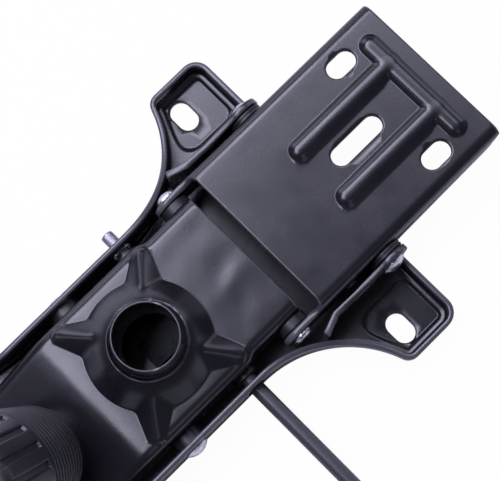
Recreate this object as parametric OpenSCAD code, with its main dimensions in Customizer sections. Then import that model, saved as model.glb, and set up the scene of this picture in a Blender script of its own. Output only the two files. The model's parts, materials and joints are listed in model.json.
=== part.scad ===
// Tilt mechanism of an office chair, lying on its seat face with the underside up.
// +X is the lever side, +Y is the backrest side and +Z is the way out of the column socket.
// The origin is the centre of the socket's mouth. Sizes are in millimetres.
// Heights in the sections below are measured from the seat face, which is the lowest plane.

/* [Column socket] */
// Bore of the column socket
bore_d = 28.4; // [26:0.1:31]
// Wall of the column tube
tube_wall = 2; // [1.5:0.1:3]
// Length of the column tube
tube_len = 35; // [30:0.5:36]
// Height of the socket's mouth above the top plate of the housing
mouth_rise = 24; // [20:0.5:30]

/* [Column housing] */
// Outer width of the housing
housing_w = 72.6; // [66:0.2:80]
// How far each side wall steps in behind the socket
housing_step = 2; // [1:0.1:3]
// Sheet thickness of the housing
housing_t = 2.5; // [2:0.1:3]
// Height of the housing's top plate
housing_h = 35; // [33:0.5:38]
// Outer bend radius along the top edges of the housing
housing_bend = 5; // [4:0.5:7]
// Distance from the socket to the rear edge of the housing
housing_rear = 56; // [54:0.5:58]
// Distance from the socket to the front end of the housing
housing_front = 98; // [94:1:104]
// Distance from the socket to the line where the front ramp starts
ramp_start = 36; // [35:0.5:38]
// Slope of the front ramp in degrees, which the tension bolt stands square to
ramp_angle = 23; // [20:0.5:25]
// Height of the side walls' lower edges under the front of the housing
skirt_low = 5.5; // [5.5:0.5:9]
// Height of the side walls' lower edges at the rear
skirt_high = 16; // [16:0.5:18]
// Radius of the raised dome where it meets the top plate
dome_r = 30.4; // [28:0.2:31]
// Radius of the top of the dome
dome_top_r = 18.6; // [18.4:0.1:20]
// Height of the dome
dome_h = 15; // [12:0.5:17]
// Reach of the four diagonal ridges from the socket's centre
ridge_reach = 41; // [39:0.5:42]
// Width of a ridge at the dome's top
ridge_w = 19; // [16:0.5:20]
// Width of a ridge at its tip
ridge_tip_w = 11; // [9:0.5:12]

/* [Seat plate] */
// Sheet thickness of the seat plate
pan_t = 2.5; // [2:0.1:3]
// How far the floor stands above the pads that touch the seat
pad_drop = 1.5; // [1:0.1:2]
// Free space between the housing and each rim
pan_gap = 5.45; // [4:0.05:8]
// Height of the rims beside the housing
rim_h = 29; // [26:0.5:30]
// Height of the rims round the four ears
ear_rim_h = 13; // [11:0.5:13.5]
// Distance from the socket to the rear edge of the seat plate
pan_rear = 107.2; // [106:0.2:110]
// Distance from the socket to the front edge of the seat plate
pan_front = 131; // [128:1:136]
// Width over the rear ears
rear_ear_w = 169; // [164:1:176]
// Width over the front ears
front_ear_w = 190; // [180:1:196]
// Radius of the hollow sides between the body and the ears
side_arc_r = 54; // [50:1:58]
// Distance from the socket to the start of the rear hollow sides
rear_arc_y = 23.5; // [22:0.5:25]
// Distance from the socket to the start of the front hollow sides
front_arc_y = 45; // [43:1:47]
// Radius of the ears' inner corners
ear_corner_r = 6; // [5:0.5:7]
// Radius of the ears' outer corners
ear_end_r = 8; // [7:0.5:10]
// Distance between the two rear mounting slots
rear_slot_span = 140; // [136:1:144]
// Distance between the two front mounting slots
front_slot_span = 160; // [150:1:166]
// Distance from the socket to the rear mounting slots
rear_slot_y = 84.4; // [83:0.2:88]
// Distance from the rear mounting slots to the front ones
slot_pitch = 200; // [196:1:204]
// Length of a mounting slot
seat_slot_len = 15; // [12:0.5:17]
// Width of a mounting slot
seat_slot_w = 10; // [8:0.5:10.5]

/* [Back bracket] */
// Sheet thickness of the back bracket
bracket_t = 3; // [2.5:0.1:3.5]
// Height of the bracket's outer face
bracket_h = 36; // [35.5:0.5:38]
// Distance from the socket to the rear edge of the bracket
bracket_rear = 173; // [165:1:180]
// Distance from the socket to the front edge of the bracket's web
web_front = 63.6; // [62:0.2:66]
// Depth of the bracket's flanges at the rear
flange_rear_h = 14; // [12:0.5:18]
// Outer bend radius along the bracket's edges
bracket_bend = 5; // [4:0.5:7]
// Radius of the bracket's rear corners
bracket_corner_r = 8; // [5:0.5:12]
// Distance between the two short slots
back_slot_span = 58.4; // [54:0.2:62]
// Distance from the socket to the short slots
back_slot_y = 145.6; // [143:0.2:147]
// Length of a short slot
back_slot_len = 15; // [12:0.5:16]
// Width of a short slot
back_slot_w = 9.4; // [8:0.2:10]
// Distance from the socket to the long slot
long_slot_y = 125.8; // [122:0.2:128]
// Length of the long slot
long_slot_len = 28.6; // [24:0.2:32]
// Width of the long slot
long_slot_w = 9.2; // [8:0.2:10]
// Height of the pressed stiffening ribs
rib_h = 2.5; // [1.5:0.1:3]
// Radius of the ribs' round backs
rib_r = 5.5; // [4.5:0.1:6]
// Distance from the socket to the cross rib
cross_rib_y = 160.8; // [159:0.2:162]
// Distance between the round ends of the cross rib
cross_rib_len = 52; // [46:1:56]
// Distance between the two long ribs
long_rib_span = 29; // [26:0.5:32]
// Distance from the socket to the round ends of the long ribs
long_rib_start = 105; // [100:0.5:110]

/* [Pivots] */
// Distance from the socket to the pivot between the bracket and the seat lugs
rear_pivot_y = 100.2; // [98:0.2:101]
// Distance from the socket to the pivot between the bracket and the housing
mid_pivot_y = 49.3; // [48:0.1:50]
// Height of both rear pivots
pivot_z = 23.5; // [23:0.1:24.5]
// Distance from the socket forward to the front pivot
front_pivot_y = 17.8; // [16:0.2:20]
// Height of the front pivot
front_pivot_z = 16; // [15:0.2:17]
// Diameter of the three pivot pins
pin_d = 8; // [7:0.1:8.4]
// Thickness of the seat lugs
lug_t = 3; // [2.5:0.1:4]
// Width of the plastic flange between the bracket and each lug
flange_bush_w = 3; // [2.5:0.1:4]
// Width of the spacer between the housing and each bracket arm
spacer_w = 4.4; // [4:0.1:6]
// Radius of the bracket arms round the middle pivot
arm_r = 8; // [7.5:0.1:8.2]
// Radius of the lugs and arms round the rear pivot
lug_r = 9; // [8.6:0.1:9.6]

/* [Lever] */
// Diameter of the lever rod
rod_d = 7; // [6:0.1:8]
// Diameter of the knurled end of the rod
rod_end_d = 6; // [5:0.1:7]
// Distance from the socket to the rod
rod_y = 19.2; // [19:0.1:20]
// Distance from the lower end of the column tube down to the rod
rod_below_tube = 7; // [6.8:0.1:7.5]
// Distance from the centre plane to the rod's knurled end
rod_left = 52; // [50:0.5:56]
// Distance from the centre plane to the end of the handle
handle_end = 194; // [170:1:198]
// Length of the handle
handle_len = 68; // [55:1:80]
// Width of the handle's blade
handle_w = 26; // [20:0.5:32]
// Thickness of the handle's blade
handle_t = 10; // [9:0.5:14]
// Width of the tongue that presses the gas spring's button
tongue_w = 14; // [10:0.5:18]
// Thickness of the tongue
tongue_t = 2.5; // [2:0.1:3]

/* [Tension knob] */
// Distance from the socket to the point where the bolt crosses the ramp
bolt_y = 65; // [64:0.5:72]
// Diameter of the tension bolt
bolt_d = 10; // [9:0.1:12]
// Radius of the knob
knob_r = 28.5; // [27:0.5:32]
// Length of the knob from its base to the cap's face
knob_len = 40; // [36:0.5:46]
// Number of grip grooves round the knob
grooves = 20; // [12:1:24]
// Width of a grip groove
groove_w = 3; // [2:0.1:3.6]
// Height of the sleeve's lower edge above the ramp
sleeve_gap = 12; // [12:0.1:14]
// Length of the ribbed sleeve
sleeve_len = 36; // [36:0.5:44]
// Outer radius of the sleeve at its lower edge
sleeve_r = 23; // [23:0.1:26]
// Number of ribs round the sleeve
sleeve_ribs = 10; // [6:1:14]
// Mean radius of the tension spring
spring_r = 14; // [12:0.2:15]
// Wire diameter of the tension spring
wire_d = 4.5; // [3.5:0.1:5]
// Number of turns of the tension spring
spring_turns = 6; // [5:1:7]

/* [Fits] */
// Radial clearance of a pin or shaft that turns or slides
run_gap = 0.05; // [0.02:0.01:0.1]
// Clearance between flat faces that move past each other
side_gap = 0.3; // [0.2:0.05:0.5]
// Clearance round a joint that only rests in a slot
slot_gap = 0.4; // [0.3:0.05:0.6]

/* [Hidden] */

$fn = 64;
// A little more than any face, so that cuts run clean through
over = 1;
mouth_z = housing_h + mouth_rise;
tube_r = bore_d / 2 + tube_wall;
housing_half = housing_w / 2;
housing_rear_half = housing_half - housing_step;
pan_inner = housing_half + pan_gap;
pan_half = pan_inner + pan_t;
floor_top = pad_drop + pan_t;
arm_inner = housing_rear_half + spacer_w + side_gap;
arm_outer = arm_inner + bracket_t;
lug_inner = arm_outer + flange_bush_w + slot_gap;
lug_outer = lug_inner + lug_t;
pin_r = pin_d / 2;
bush_r = pin_r + 1.6;
rod_r = rod_d / 2;
rod_z = mouth_z - tube_len - rod_below_tube;
lever_bush_r = rod_r + 2;
// Where the housing's side walls start to step in, just behind the lever rod
step_y = rod_y + rod_r + 1;
bolt_r = bolt_d / 2;
// How far the bolt ends below the cap's face
bolt_short = 11.3;
// Height of the knob's base above the ramp
knob_z = sleeve_gap + sleeve_len + side_gap;
ramp_z = housing_h - (bolt_y - ramp_start) * tan(ramp_angle);

// Full recline, worked out for the stop rivets, slots and clearances
recline = 11.3;
pivot_span = rear_pivot_y - mid_pivot_y;
mid_drop = pivot_span * sin(recline);
housing_swing = asin(mid_drop / (mid_pivot_y + front_pivot_y));
rod_drop = (rod_y + front_pivot_y) * sin(housing_swing);
bolt_shift = 5.4;

// Side arcs and ears of the seat plate
corner_reach = side_arc_r + ear_corner_r;
arc_x = pan_half + side_arc_r;
lug_bend_y = 66;
lug_end_y = 57.2;
lug_bend_angle = 20;
// Shape of a lug beside its bend
lug_waist = 12;
lug_past = 6;
lug_bend_rise = 5;
lug_end_rise = 3;
// Lengths over which the rims fall to the ears
rim_step = 4;
rear_rim_run = 42;
front_rim_run = 47;

// Heads and rings
head_r = 6;
head_rim = 0.5;
head_h = 2.6;
ring_t = 1.2;
disc_r = 8;
pad_margin = 10;
nut_r = 9.8;
nut_h = 8;
anchor_h = 7;
brace_rise = 1.5;
brace_flange = 9;
cup_h = 6;
cup_floor = 3;
sleeve_web = 2;
washer_t = 2.5;
knob_base = 3;
knob_wall = 3;
knob_hub = 14;
cap_h = 4;
tab_half = 10;
tab_clamp = 6;
rod_short = 12;
stop_y = 81;
stop_z = 20.5;
stop_r = 2;

// The frame of the tension bolt, with its origin on the ramp's outer face
module on_bolt() {
    translate([0, -bolt_y, ramp_z]) rotate([ramp_angle, 0, 0]) children();
}

// Heights above the seat face become heights in the part's own frame
module from_seat() {
    translate([0, 0, -mouth_z]) children();
}

module both_sides() {
    children();
    mirror([1, 0, 0]) children();
}

// A profile drawn in Y and Z, drawn out along X
module along_x(x0, x1) {
    translate([x0, 0, 0]) rotate([90, 0, 90]) linear_extrude(height = x1 - x0) children();
}

// A profile drawn in X and Z, drawn out along Y
module along_y(y0, y1) {
    translate([0, y1, 0]) rotate([90, 0, 0]) linear_extrude(height = y1 - y0) children();
}

module rod_x(x0, x1, y, z, r) {
    translate([x0, y, z]) rotate([0, 90, 0]) cylinder(h = x1 - x0, r = r);
}

module ring_x(x0, x1, y, z, r, bore) {
    difference() {
        rod_x(x0, x1, y, z, r);
        rod_x(x0 - over, x1 + over, y, z, bore);
    }
}

// A round form about an axis along X, drawn as a half profile in radius and length from x0
module turned_x(x0, y, z) {
    translate([x0, y, z]) rotate([0, 90, 0]) rotate_extrude() children();
}

// Half profile of a domed head: a short rim and then part of a ball
module dome_profile(r, rim, h) {
    ball = (r * r + h * h) / (2 * h);
    half_angle = asin(r / ball);
    steps = 5;
    polygon(concat([[0, 0], [r, 0]], [for (i = [0 : steps])
        let (a = half_angle * (1 - i / steps)) [ball * sin(a), rim + h - ball + ball * cos(a)]]));
}

// A slot of round ends in X, Y, cut upwards from z0
module slot_z(x, y, len_x, len_y, z0, z1) {
    r = min(len_x, len_y) / 2;
    dx = len_x / 2 - r;
    dy = len_y / 2 - r;
    translate([x, y, z0]) linear_extrude(height = z1 - z0) {
        translate([-dx, -dy]) circle(r = r);
        translate([dx, dy]) circle(r = r);
        if (dx > 0) translate([-dx, -r]) square([2 * dx, 2 * r]);
        if (dy > 0) translate([-r, -dy]) square([2 * r, 2 * dy]);
    }
}

// One end of the seat plate's outline, on the +Y side: hollow sides and two ears
module pan_end(inset, ear_w, arc_y, edge) {
    corner_x = ear_w / 2 - ear_corner_r;
    corner_y = arc_y + sqrt(pow(corner_reach, 2) - pow(arc_x - corner_x, 2));
    touch_x = corner_x + (ear_corner_r - inset) * (arc_x - corner_x) / corner_reach;
    end_x = ear_w / 2 - ear_end_r;
    difference() {
        translate([-touch_x, arc_y]) square([2 * touch_x, corner_y - arc_y]);
        translate([-arc_x, arc_y]) circle(r = side_arc_r + inset, $fn = 128);
        translate([arc_x, arc_y]) circle(r = side_arc_r + inset, $fn = 128);
    }
    translate([-ear_w / 2 + inset, corner_y]) square([ear_w - 2 * inset, edge - ear_end_r - corner_y]);
    translate([-end_x, corner_y]) square([2 * end_x, edge - inset - corner_y]);
    for (side = [-1, 1]) {
        translate([side * corner_x, corner_y]) circle(r = ear_corner_r - inset);
        translate([side * end_x, edge - ear_end_r]) circle(r = ear_end_r - inset);
    }
}

module pan_outline(inset) {
    translate([-pan_half + inset, -front_arc_y]) square([2 * (pan_half - inset), front_arc_y + rear_arc_y]);
    pan_end(inset, rear_ear_w, rear_arc_y, pan_rear);
    mirror([0, 1]) pan_end(inset, front_ear_w, front_arc_y, pan_front);
}

// The pads in the four ears, as the part of the outline outside a middle strip
module pad_outline(inset) {
    rear_pad_x = rear_slot_span / 2 - seat_slot_len / 2 - pad_margin + inset;
    rear_pad_y = rear_slot_y - seat_slot_w / 2 - pad_margin + 2 + inset;
    front_pad_x = front_slot_span / 2 - seat_slot_len / 2 - pad_margin + inset;
    front_pad_y = slot_pitch - rear_slot_y - seat_slot_w / 2 - pad_margin + 2 + inset;
    intersection() {
        pan_outline(inset + 1);
        for (side = [0, 1]) mirror([side, 0]) {
            translate([rear_pad_x, rear_pad_y]) square([rear_ear_w, pan_rear]);
            translate([front_pad_x, -front_pad_y - pan_front]) square([front_ear_w, pan_front]);
        }
    }
}

module rim_profile() {
    polygon([
        [-pan_front - over, -over], [pan_rear + over, -over], [pan_rear + over, ear_rim_h],
        [rear_arc_y + rim_step + rear_rim_run, ear_rim_h], [rear_arc_y + rim_step, rim_h],
        [-front_arc_y, rim_h], [-front_arc_y - front_rim_run, ear_rim_h], [-pan_front - over, ear_rim_h]
    ]);
}

module seat_slots(z0, z1) {
    for (side = [-1, 1]) {
        slot_z(side * rear_slot_span / 2, rear_slot_y, seat_slot_len, seat_slot_w, z0, z1);
        slot_z(side * front_slot_span / 2, rear_slot_y - slot_pitch, seat_slot_len, seat_slot_w, z0, z1);
    }
}

// Upright slot in a rim for the lever rod, which falls and rises with the housing
module rod_slot_profile() {
    r = rod_r + 1.2;
    translate([rod_y, rod_z]) circle(r = r);
    translate([rod_y, rod_z - rod_drop]) circle(r = r);
    translate([rod_y - r, rod_z - rod_drop]) square([2 * r, rod_drop]);
}

module seat_plate() {
    color("#26262b") from_seat() difference() {
        union() {
            intersection() {
                difference() {
                    translate([0, 0, pad_drop]) linear_extrude(height = rim_h) pan_outline(0);
                    translate([0, 0, floor_top]) linear_extrude(height = rim_h) pan_outline(pan_t);
                }
                along_x(-front_ear_w, front_ear_w) rim_profile();
            }
            linear_extrude(height = pad_drop) pad_outline(0);
        }
        translate([0, 0, pan_t]) linear_extrude(height = floor_top) pad_outline(pan_t - 1);
        seat_slots(-over, floor_top);
        along_x(-pan_half - over, pan_half + over) rod_slot_profile();
        rod_x(-pan_half - over, pan_half + over, -front_pivot_y, front_pivot_z, pin_r + run_gap);
        translate([-lug_inner, rear_pivot_y, 9]) cube([2 * lug_inner, 2 * ear_end_r, rim_h]);
    }
}

// Side view of a lug: round over the pivot, with a foot on the seat plate
module lug_profile() {
    foot_rear = pan_rear - pan_t - slot_gap;
    translate([rear_pivot_y, pivot_z]) circle(r = lug_r);
    polygon([
        [lug_end_y - lug_past, floor_top], [foot_rear, floor_top], [foot_rear, ear_rim_h],
        [rear_pivot_y + lug_r * cos(20), pivot_z - lug_r * sin(20)],
        [rear_pivot_y - lug_r * cos(60), pivot_z + lug_r * sin(60)],
        [lug_bend_y + lug_waist, pivot_z + lug_end_rise], [lug_bend_y, pivot_z + lug_bend_rise],
        [lug_end_y - lug_past, pivot_z + lug_end_rise]
    ]);
}

// Plan view of a lug: straight past the pivot, then turned out towards the rim
module lug_plan() {
    reach = lug_bend_y - lug_end_y;
    turn = reach * tan(lug_bend_angle);
    turn_inner = lug_t * tan(lug_bend_angle / 2);
    polygon([
        [lug_inner, rear_pivot_y + 2 * lug_r], [lug_outer, rear_pivot_y + 2 * lug_r],
        [lug_outer, lug_bend_y], [lug_outer + turn, lug_end_y],
        [lug_outer + turn - lug_t * cos(lug_bend_angle), lug_end_y - lug_t * sin(lug_bend_angle)],
        [lug_inner, lug_bend_y - turn_inner]
    ]);
}

module seat_lug() {
    difference() {
        intersection() {
            along_x(lug_inner - over, lug_outer + 4 * lug_t) lug_profile();
            linear_extrude(height = 2 * pivot_z) lug_plan();
        }
        rod_x(lug_inner - over, lug_outer + over, rear_pivot_y, pivot_z, pin_r + run_gap);
    }
}

module seat_lug_left() {
    color("#26262b") from_seat() mirror([1, 0, 0]) seat_lug();
}

module seat_lug_right() {
    color("#26262b") from_seat() seat_lug();
}

module front_pivot_pin() {
    color("silver") from_seat() {
        rod_x(-pan_half - 2.4, pan_half, -front_pivot_y, front_pivot_z, pin_r);
        turned_x(pan_half, -front_pivot_y, front_pivot_z) dome_profile(head_r, head_rim, head_h);
    }
}

module front_pivot_push_nut() {
    color("silver") from_seat() {
        x = -pan_half - run_gap - ring_t;
        ring_x(x, x + ring_t, -front_pivot_y, front_pivot_z, head_r, pin_r + run_gap);
    }
}

// Plastic rings that keep the housing centred on the front pin
module front_spacer_bushes() {
    color("#1c1c1f") from_seat() both_sides() {
        x0 = housing_half + side_gap;
        ring_x(x0, pan_inner - run_gap, -front_pivot_y, front_pivot_z, disc_r, pin_r + run_gap);
    }
}

module rear_pivot_pins() {
    color("silver") from_seat() both_sides() {
        rod_x(arm_inner - ring_t - 2, lug_outer, rear_pivot_y, pivot_z, pin_r);
        turned_x(lug_outer, rear_pivot_y, pivot_z) dome_profile(head_r, head_rim, head_h);
    }
}

module rear_pivot_rings() {
    color("silver") from_seat() both_sides() {
        x1 = arm_inner - side_gap - ring_t;
        ring_x(x1 - ring_t, x1, rear_pivot_y, pivot_z, head_r, pin_r + run_gap);
    }
}

// Block that holds the foot of the tension bolt on the seat plate's floor
module bolt_anchor() {
    centre_y = -bolt_y + (ramp_z - floor_top - anchor_h / 2) * tan(ramp_angle);
    half_y = 1.2 * bolt_d;
    color("#26262b") from_seat() difference() {
        translate([-2 * bolt_d, centre_y - half_y, floor_top]) cube([4 * bolt_d, 2 * half_y, anchor_h]);
        on_bolt() translate([0, 0, -ramp_z]) cylinder(h = 2 * ramp_z, r = bolt_r + run_gap);
    }
}

module tension_bolt() {
    foot = (floor_top + 1.5 - ramp_z + bolt_r * sin(ramp_angle)) / cos(ramp_angle);
    top = knob_z + knob_len - bolt_short;
    point = 0.1 * bolt_d;
    color("gray") from_seat() on_bolt() {
        translate([0, 0, foot]) cylinder(h = top - foot - point, r = bolt_r);
        translate([0, 0, top - point]) cylinder(h = point, r1 = bolt_r, r2 = bolt_r - point);
    }
}

// Cross section of a channel with rounded top edges, drawn in X and Z with its top at z
module channel_section(half_w, z, bend) {
    depth = 2 * housing_h;
    translate([-half_w, z - depth]) square([2 * half_w, depth - bend]);
    translate([-half_w + bend, z - depth]) square([2 * (half_w - bend), depth]);
    for (side = [-1, 1]) translate([side * (half_w - bend), z - bend]) circle(r = bend);
}

// The housing as a solid block: what lies under both the level part and the ramp,
// whose edges are bent a little wider
module housing_block(inset) {
    half_w = housing_half - inset;
    bend = housing_bend - inset;
    reach = 2 * housing_front;
    intersection() {
        along_y(-reach, housing_rear + over) channel_section(half_w, housing_h - inset, bend);
        translate([0, -ramp_start, housing_h]) rotate([ramp_angle, 0, 0])
            along_y(-reach, reach) channel_section(half_w, -inset, bend + 0.5);
    }
}

// The dome and the four ridges round the socket, drawn in by inset
module star_block(inset) {
    slope = atan2(dome_h, dome_r - dome_top_r);
    grow = inset / tan(slope);
    draw = inset / sin(slope);
    z0 = housing_h - inset;
    translate([0, 0, z0 - over])
        cylinder(h = over, r = dome_r + grow - draw);
    translate([0, 0, z0])
        cylinder(h = dome_h, r1 = dome_r + grow - draw, r2 = dome_top_r + grow - draw);
    r1 = ridge_w / 2;
    r2 = ridge_tip_w / 2;
    crest = housing_h + dome_h - 3;
    tip_crest = housing_h + 1.2;
    drop = atan2(crest - r1 - tip_crest + r2, ridge_reach - tube_r);
    run = (ridge_reach - tube_r) / cos(drop);
    for (turn = [45 : 90 : 315]) rotate([0, 0, turn]) {
        translate([tube_r, 0, crest - r1]) rotate([0, 90 + drop, 0])
            cylinder(h = run, r1 = r1 - inset, r2 = r2 - inset);
        translate([ridge_reach, 0, tip_crest - r2]) sphere(r = r2 - inset + 0.1);
    }
}

// Side view of the housing, with lower edges that clear the seat plate at full recline
module housing_profile() {
    polygon([
        [-housing_front, skirt_low], [-front_pivot_y, skirt_low], [housing_rear, skirt_high],
        [housing_rear, 2 * housing_h], [-housing_front, 2 * housing_h]
    ]);
}

// Plan of the housing, which steps in behind the socket
module housing_plan(inset) {
    a = housing_half - inset;
    b = housing_rear_half - inset;
    polygon([
        [-a, -2 * housing_front], [a, -2 * housing_front], [a, step_y], [b, step_y + 3 * housing_step],
        [b, 2 * housing_rear], [-b, 2 * housing_rear], [-b, step_y + 3 * housing_step], [-a, step_y]
    ]);
}

module housing_form(inset) {
    intersection() {
        housing_block(inset);
        translate([0, 0, -housing_h]) linear_extrude(height = 3 * housing_h) housing_plan(inset);
    }
    star_block(inset);
}

// Slot in the housing's walls for the front pin: the one pivot that is left open
module front_slot_profile() {
    r = pin_r + slot_gap;
    for (shift = [-1.2, 0.5]) translate([-front_pivot_y + shift, front_pivot_z]) circle(r = r);
    translate([-front_pivot_y - 1.2, front_pivot_z - r]) square([1.7, 2 * r]);
}

// Slot for the tension bolt, which moves forward in the ramp as the chair reclines
module bolt_slot(r, h) {
    translate([0, 0, -h]) cylinder(h = 2 * h, r = r);
    translate([0, -bolt_shift, -h]) cylinder(h = 2 * h, r = r);
    translate([-r, -bolt_shift, -h]) cube([2 * r, bolt_shift, 2 * h]);
}

module column_housing() {
    color("#2b2b31") from_seat() difference() {
        intersection() {
            difference() {
                housing_form(0);
                housing_form(housing_t);
            }
            along_x(-2 * housing_half, 2 * housing_half) housing_profile();
        }
        cylinder(h = 3 * housing_h, r = tube_r + run_gap);
        along_x(-housing_half - over, housing_half + over) front_slot_profile();
        rod_x(-housing_half - over, housing_half + over, mid_pivot_y, pivot_z, bush_r + run_gap);
        rod_x(-housing_half - over, housing_half + over, rod_y, rod_z, lever_bush_r + run_gap);
        on_bolt() bolt_slot(bolt_r + 1, 2 * housing_t);
    }
}

module column_tube() {
    lip = 1.2;
    color("#1f1f24") from_seat() translate([0, 0, mouth_z - tube_len]) rotate_extrude() polygon([
        [bore_d / 2, 0], [tube_r, 0], [tube_r, tube_len - lip], [tube_r - lip / 2, tube_len],
        [bore_d / 2, tube_len]
    ]);
}

// Inner cross plate that holds the lower end of the column tube
module socket_brace() {
    half = housing_half - housing_t - run_gap;
    z = mouth_z - tube_len + brace_rise;
    front_y = front_pivot_y + pin_r + 3;
    rear_y = step_y - run_gap;
    color("#26262b") from_seat() difference() {
        union() {
            translate([-half, -front_y, z]) cube([2 * half, front_y + rear_y, housing_t]);
            translate([-half, -front_y - housing_t, z - brace_flange])
                cube([2 * half, housing_t, brace_flange + housing_t]);
        }
        cylinder(h = mouth_z, r = tube_r + run_gap);
    }
}

// Flanged plastic bushes that guide the lever rod in the housing's walls
module lever_bushes() {
    color("#1c1c1f") from_seat() both_sides() difference() {
        union() {
            rod_x(housing_half - housing_t - 2, housing_half + 2, rod_y, rod_z, lever_bush_r);
            rod_x(housing_half, housing_half + 2, rod_y, rod_z, lever_bush_r + 1.4);
        }
        rod_x(0, 2 * housing_half, rod_y, rod_z, rod_r + run_gap);
    }
}

// Flanged plastic bushes between the housing and the bracket's arms
module mid_pivot_bushes() {
    x0 = housing_rear_half;
    color("#1c1c1f") from_seat() both_sides() difference() {
        union() {
            rod_x(x0 - housing_t - 1, x0 + over, mid_pivot_y, pivot_z, bush_r);
            rod_x(x0, x0 + spacer_w, mid_pivot_y, pivot_z, arm_r - 0.5);
        }
        rod_x(0, 2 * x0, mid_pivot_y, pivot_z, pin_r + run_gap);
    }
}

// Cup on the ramp that holds the lower end of the spring
module spring_seat() {
    cup_r = spring_r + wire_d / 2 + 0.5;
    color("#1c1c1f") from_seat() on_bolt() difference() {
        cylinder(h = cup_h, r = cup_r + 2);
        translate([0, 0, cup_floor]) cylinder(h = cup_h, r = cup_r);
        bolt_slot(bolt_r + 1, 10);
    }
}

// Height of the spring's centre line after a number of turns, with one closed turn at each end
function wire_rise(turn, span, closed) =
    turn <= 1 ? closed * turn
    : turn >= spring_turns - 1 ? span - closed * (spring_turns - turn)
    : closed + (span - 2 * closed) * (turn - 1) / (spring_turns - 2);

function turned(point, angle) =
    [point[0] * cos(angle) - point[1] * sin(angle), point[0] * sin(angle) + point[1] * cos(angle), point[2]];

module tension_spring() {
    rings = 8;
    sides = 6;
    start = cup_floor + wire_d / 2 + 0.2;
    span = knob_z - sleeve_web - washer_t - 2 * side_gap - wire_d / 2 - start;
    closed = wire_d + 0.5;
    steps = spring_turns * rings;
    path = [for (i = [0 : steps]) [spring_r * cos(360 * i / rings), spring_r * sin(360 * i / rings),
        start + wire_rise(i / rings, span, closed)]];
    gaps = [for (i = [0 : steps - rings]) norm(path[i + rings] - path[i]) - wire_d];
    echo(least_gap_in_spring = min(gaps));
    points = [for (i = [0 : steps]) for (k = [0 : sides - 1])
        turned([spring_r + wire_d / 2 * cos(360 * k / sides), 0,
            path[i][2] + wire_d / 2 * sin(360 * k / sides)], 360 * i / rings)];
    skin = [for (i = [0 : steps - 1]) for (k = [0 : sides - 1]) for (half = [0, 1])
        let (a = i * sides + k, b = i * sides + (k + 1) % sides)
        half == 0 ? [a, b, b + sides] : [a, b + sides, a + sides]];
    ends = [for (k = [1 : sides - 2]) for (half = [0, 1])
        half == 0 ? [0, k + 1, k] : [steps * sides, steps * sides + k, steps * sides + k + 1]];
    color("dimgray") from_seat() on_bolt() polyhedron(points = points, faces = concat(skin, ends));
}

// Side view of the back bracket: web, flanges and the arms round both pivots
module bracket_profile() {
    translate([mid_pivot_y, pivot_z]) circle(r = arm_r);
    translate([rear_pivot_y, pivot_z]) circle(r = lug_r + 1);
    polygon([
        [mid_pivot_y, pivot_z - arm_r], [web_front, pivot_z - lug_r - 1],
        [rear_pivot_y, pivot_z - lug_r - 1], [rear_pivot_y + lug_r + 6, pivot_z - lug_r + 2],
        [bracket_rear - 8, bracket_h - flange_rear_h], [bracket_rear, bracket_h - flange_rear_h + 2],
        [bracket_rear, bracket_h], [web_front, bracket_h], [web_front - 3, bracket_h - bracket_t],
        [mid_pivot_y, pivot_z + arm_r]
    ]);
}

// Plan of the bracket, with rounded rear corners
module bracket_plan() {
    r = bracket_corner_r;
    translate([-arm_outer, 0]) square([2 * arm_outer, bracket_rear - r]);
    translate([-arm_outer + r, 0]) square([2 * (arm_outer - r), bracket_rear]);
    for (side = [-1, 1]) translate([side * (arm_outer - r), bracket_rear - r]) circle(r = r);
}

// The pressed ribs as round bars, drawn in by inset
module bracket_ribs(inset) {
    z = bracket_h + rib_h - rib_r;
    r = rib_r - inset;
    half = cross_rib_len / 2;
    translate([-half, cross_rib_y, z]) rotate([0, 90, 0]) cylinder(h = 2 * half, r = r);
    for (side = [-1, 1]) {
        translate([side * half, cross_rib_y, z]) sphere(r = r);
        translate([side * long_rib_span / 2, cross_rib_y, z]) rotate([90, 0, 0])
            cylinder(h = cross_rib_y - long_rib_start, r = r);
        translate([side * long_rib_span / 2, long_rib_start, z]) sphere(r = r);
    }
}

module back_bracket() {
    mid = mid_pivot_y - arm_r;
    color("#2b2b31") from_seat() difference() {
        union() {
            intersection() {
                difference() {
                    along_y(mid - over, bracket_rear + over) channel_section(arm_outer, bracket_h, bracket_bend);
                    along_y(mid - 2 * over, bracket_rear + 2 * over)
                        channel_section(arm_inner, bracket_h - bracket_t, bracket_bend - bracket_t);
                }
                along_x(-2 * arm_outer, 2 * arm_outer) bracket_profile();
                linear_extrude(height = 2 * bracket_h) bracket_plan();
            }
            intersection() {
                bracket_ribs(0);
                translate([-arm_outer, 0, bracket_h - bracket_t]) cube([2 * arm_outer, 2 * bracket_rear, bracket_h]);
            }
        }
        bracket_ribs(bracket_t);
        for (side = [-1, 1]) slot_z(side * back_slot_span / 2, back_slot_y, back_slot_w, back_slot_len, 0, 2 * bracket_h);
        slot_z(0, long_slot_y, long_slot_w, long_slot_len, 0, 2 * bracket_h);
        rod_x(-arm_outer - over, arm_outer + over, mid_pivot_y, pivot_z, pin_r + run_gap);
        rod_x(-arm_outer - over, arm_outer + over, rear_pivot_y, pivot_z, bush_r + run_gap);
        rod_x(-arm_outer - over, arm_outer + over, stop_y, stop_z, stop_r + run_gap);
    }
}

// Rivets on the bracket's arms that meet the seat plate at full recline
module stop_rivets() {
    color("silver") from_seat() both_sides() {
        rod_x(arm_inner - 1, arm_outer, stop_y, stop_z, stop_r);
        turned_x(arm_outer, stop_y, stop_z) dome_profile(1.8 * stop_r, head_rim, 1.4);
    }
}

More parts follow.
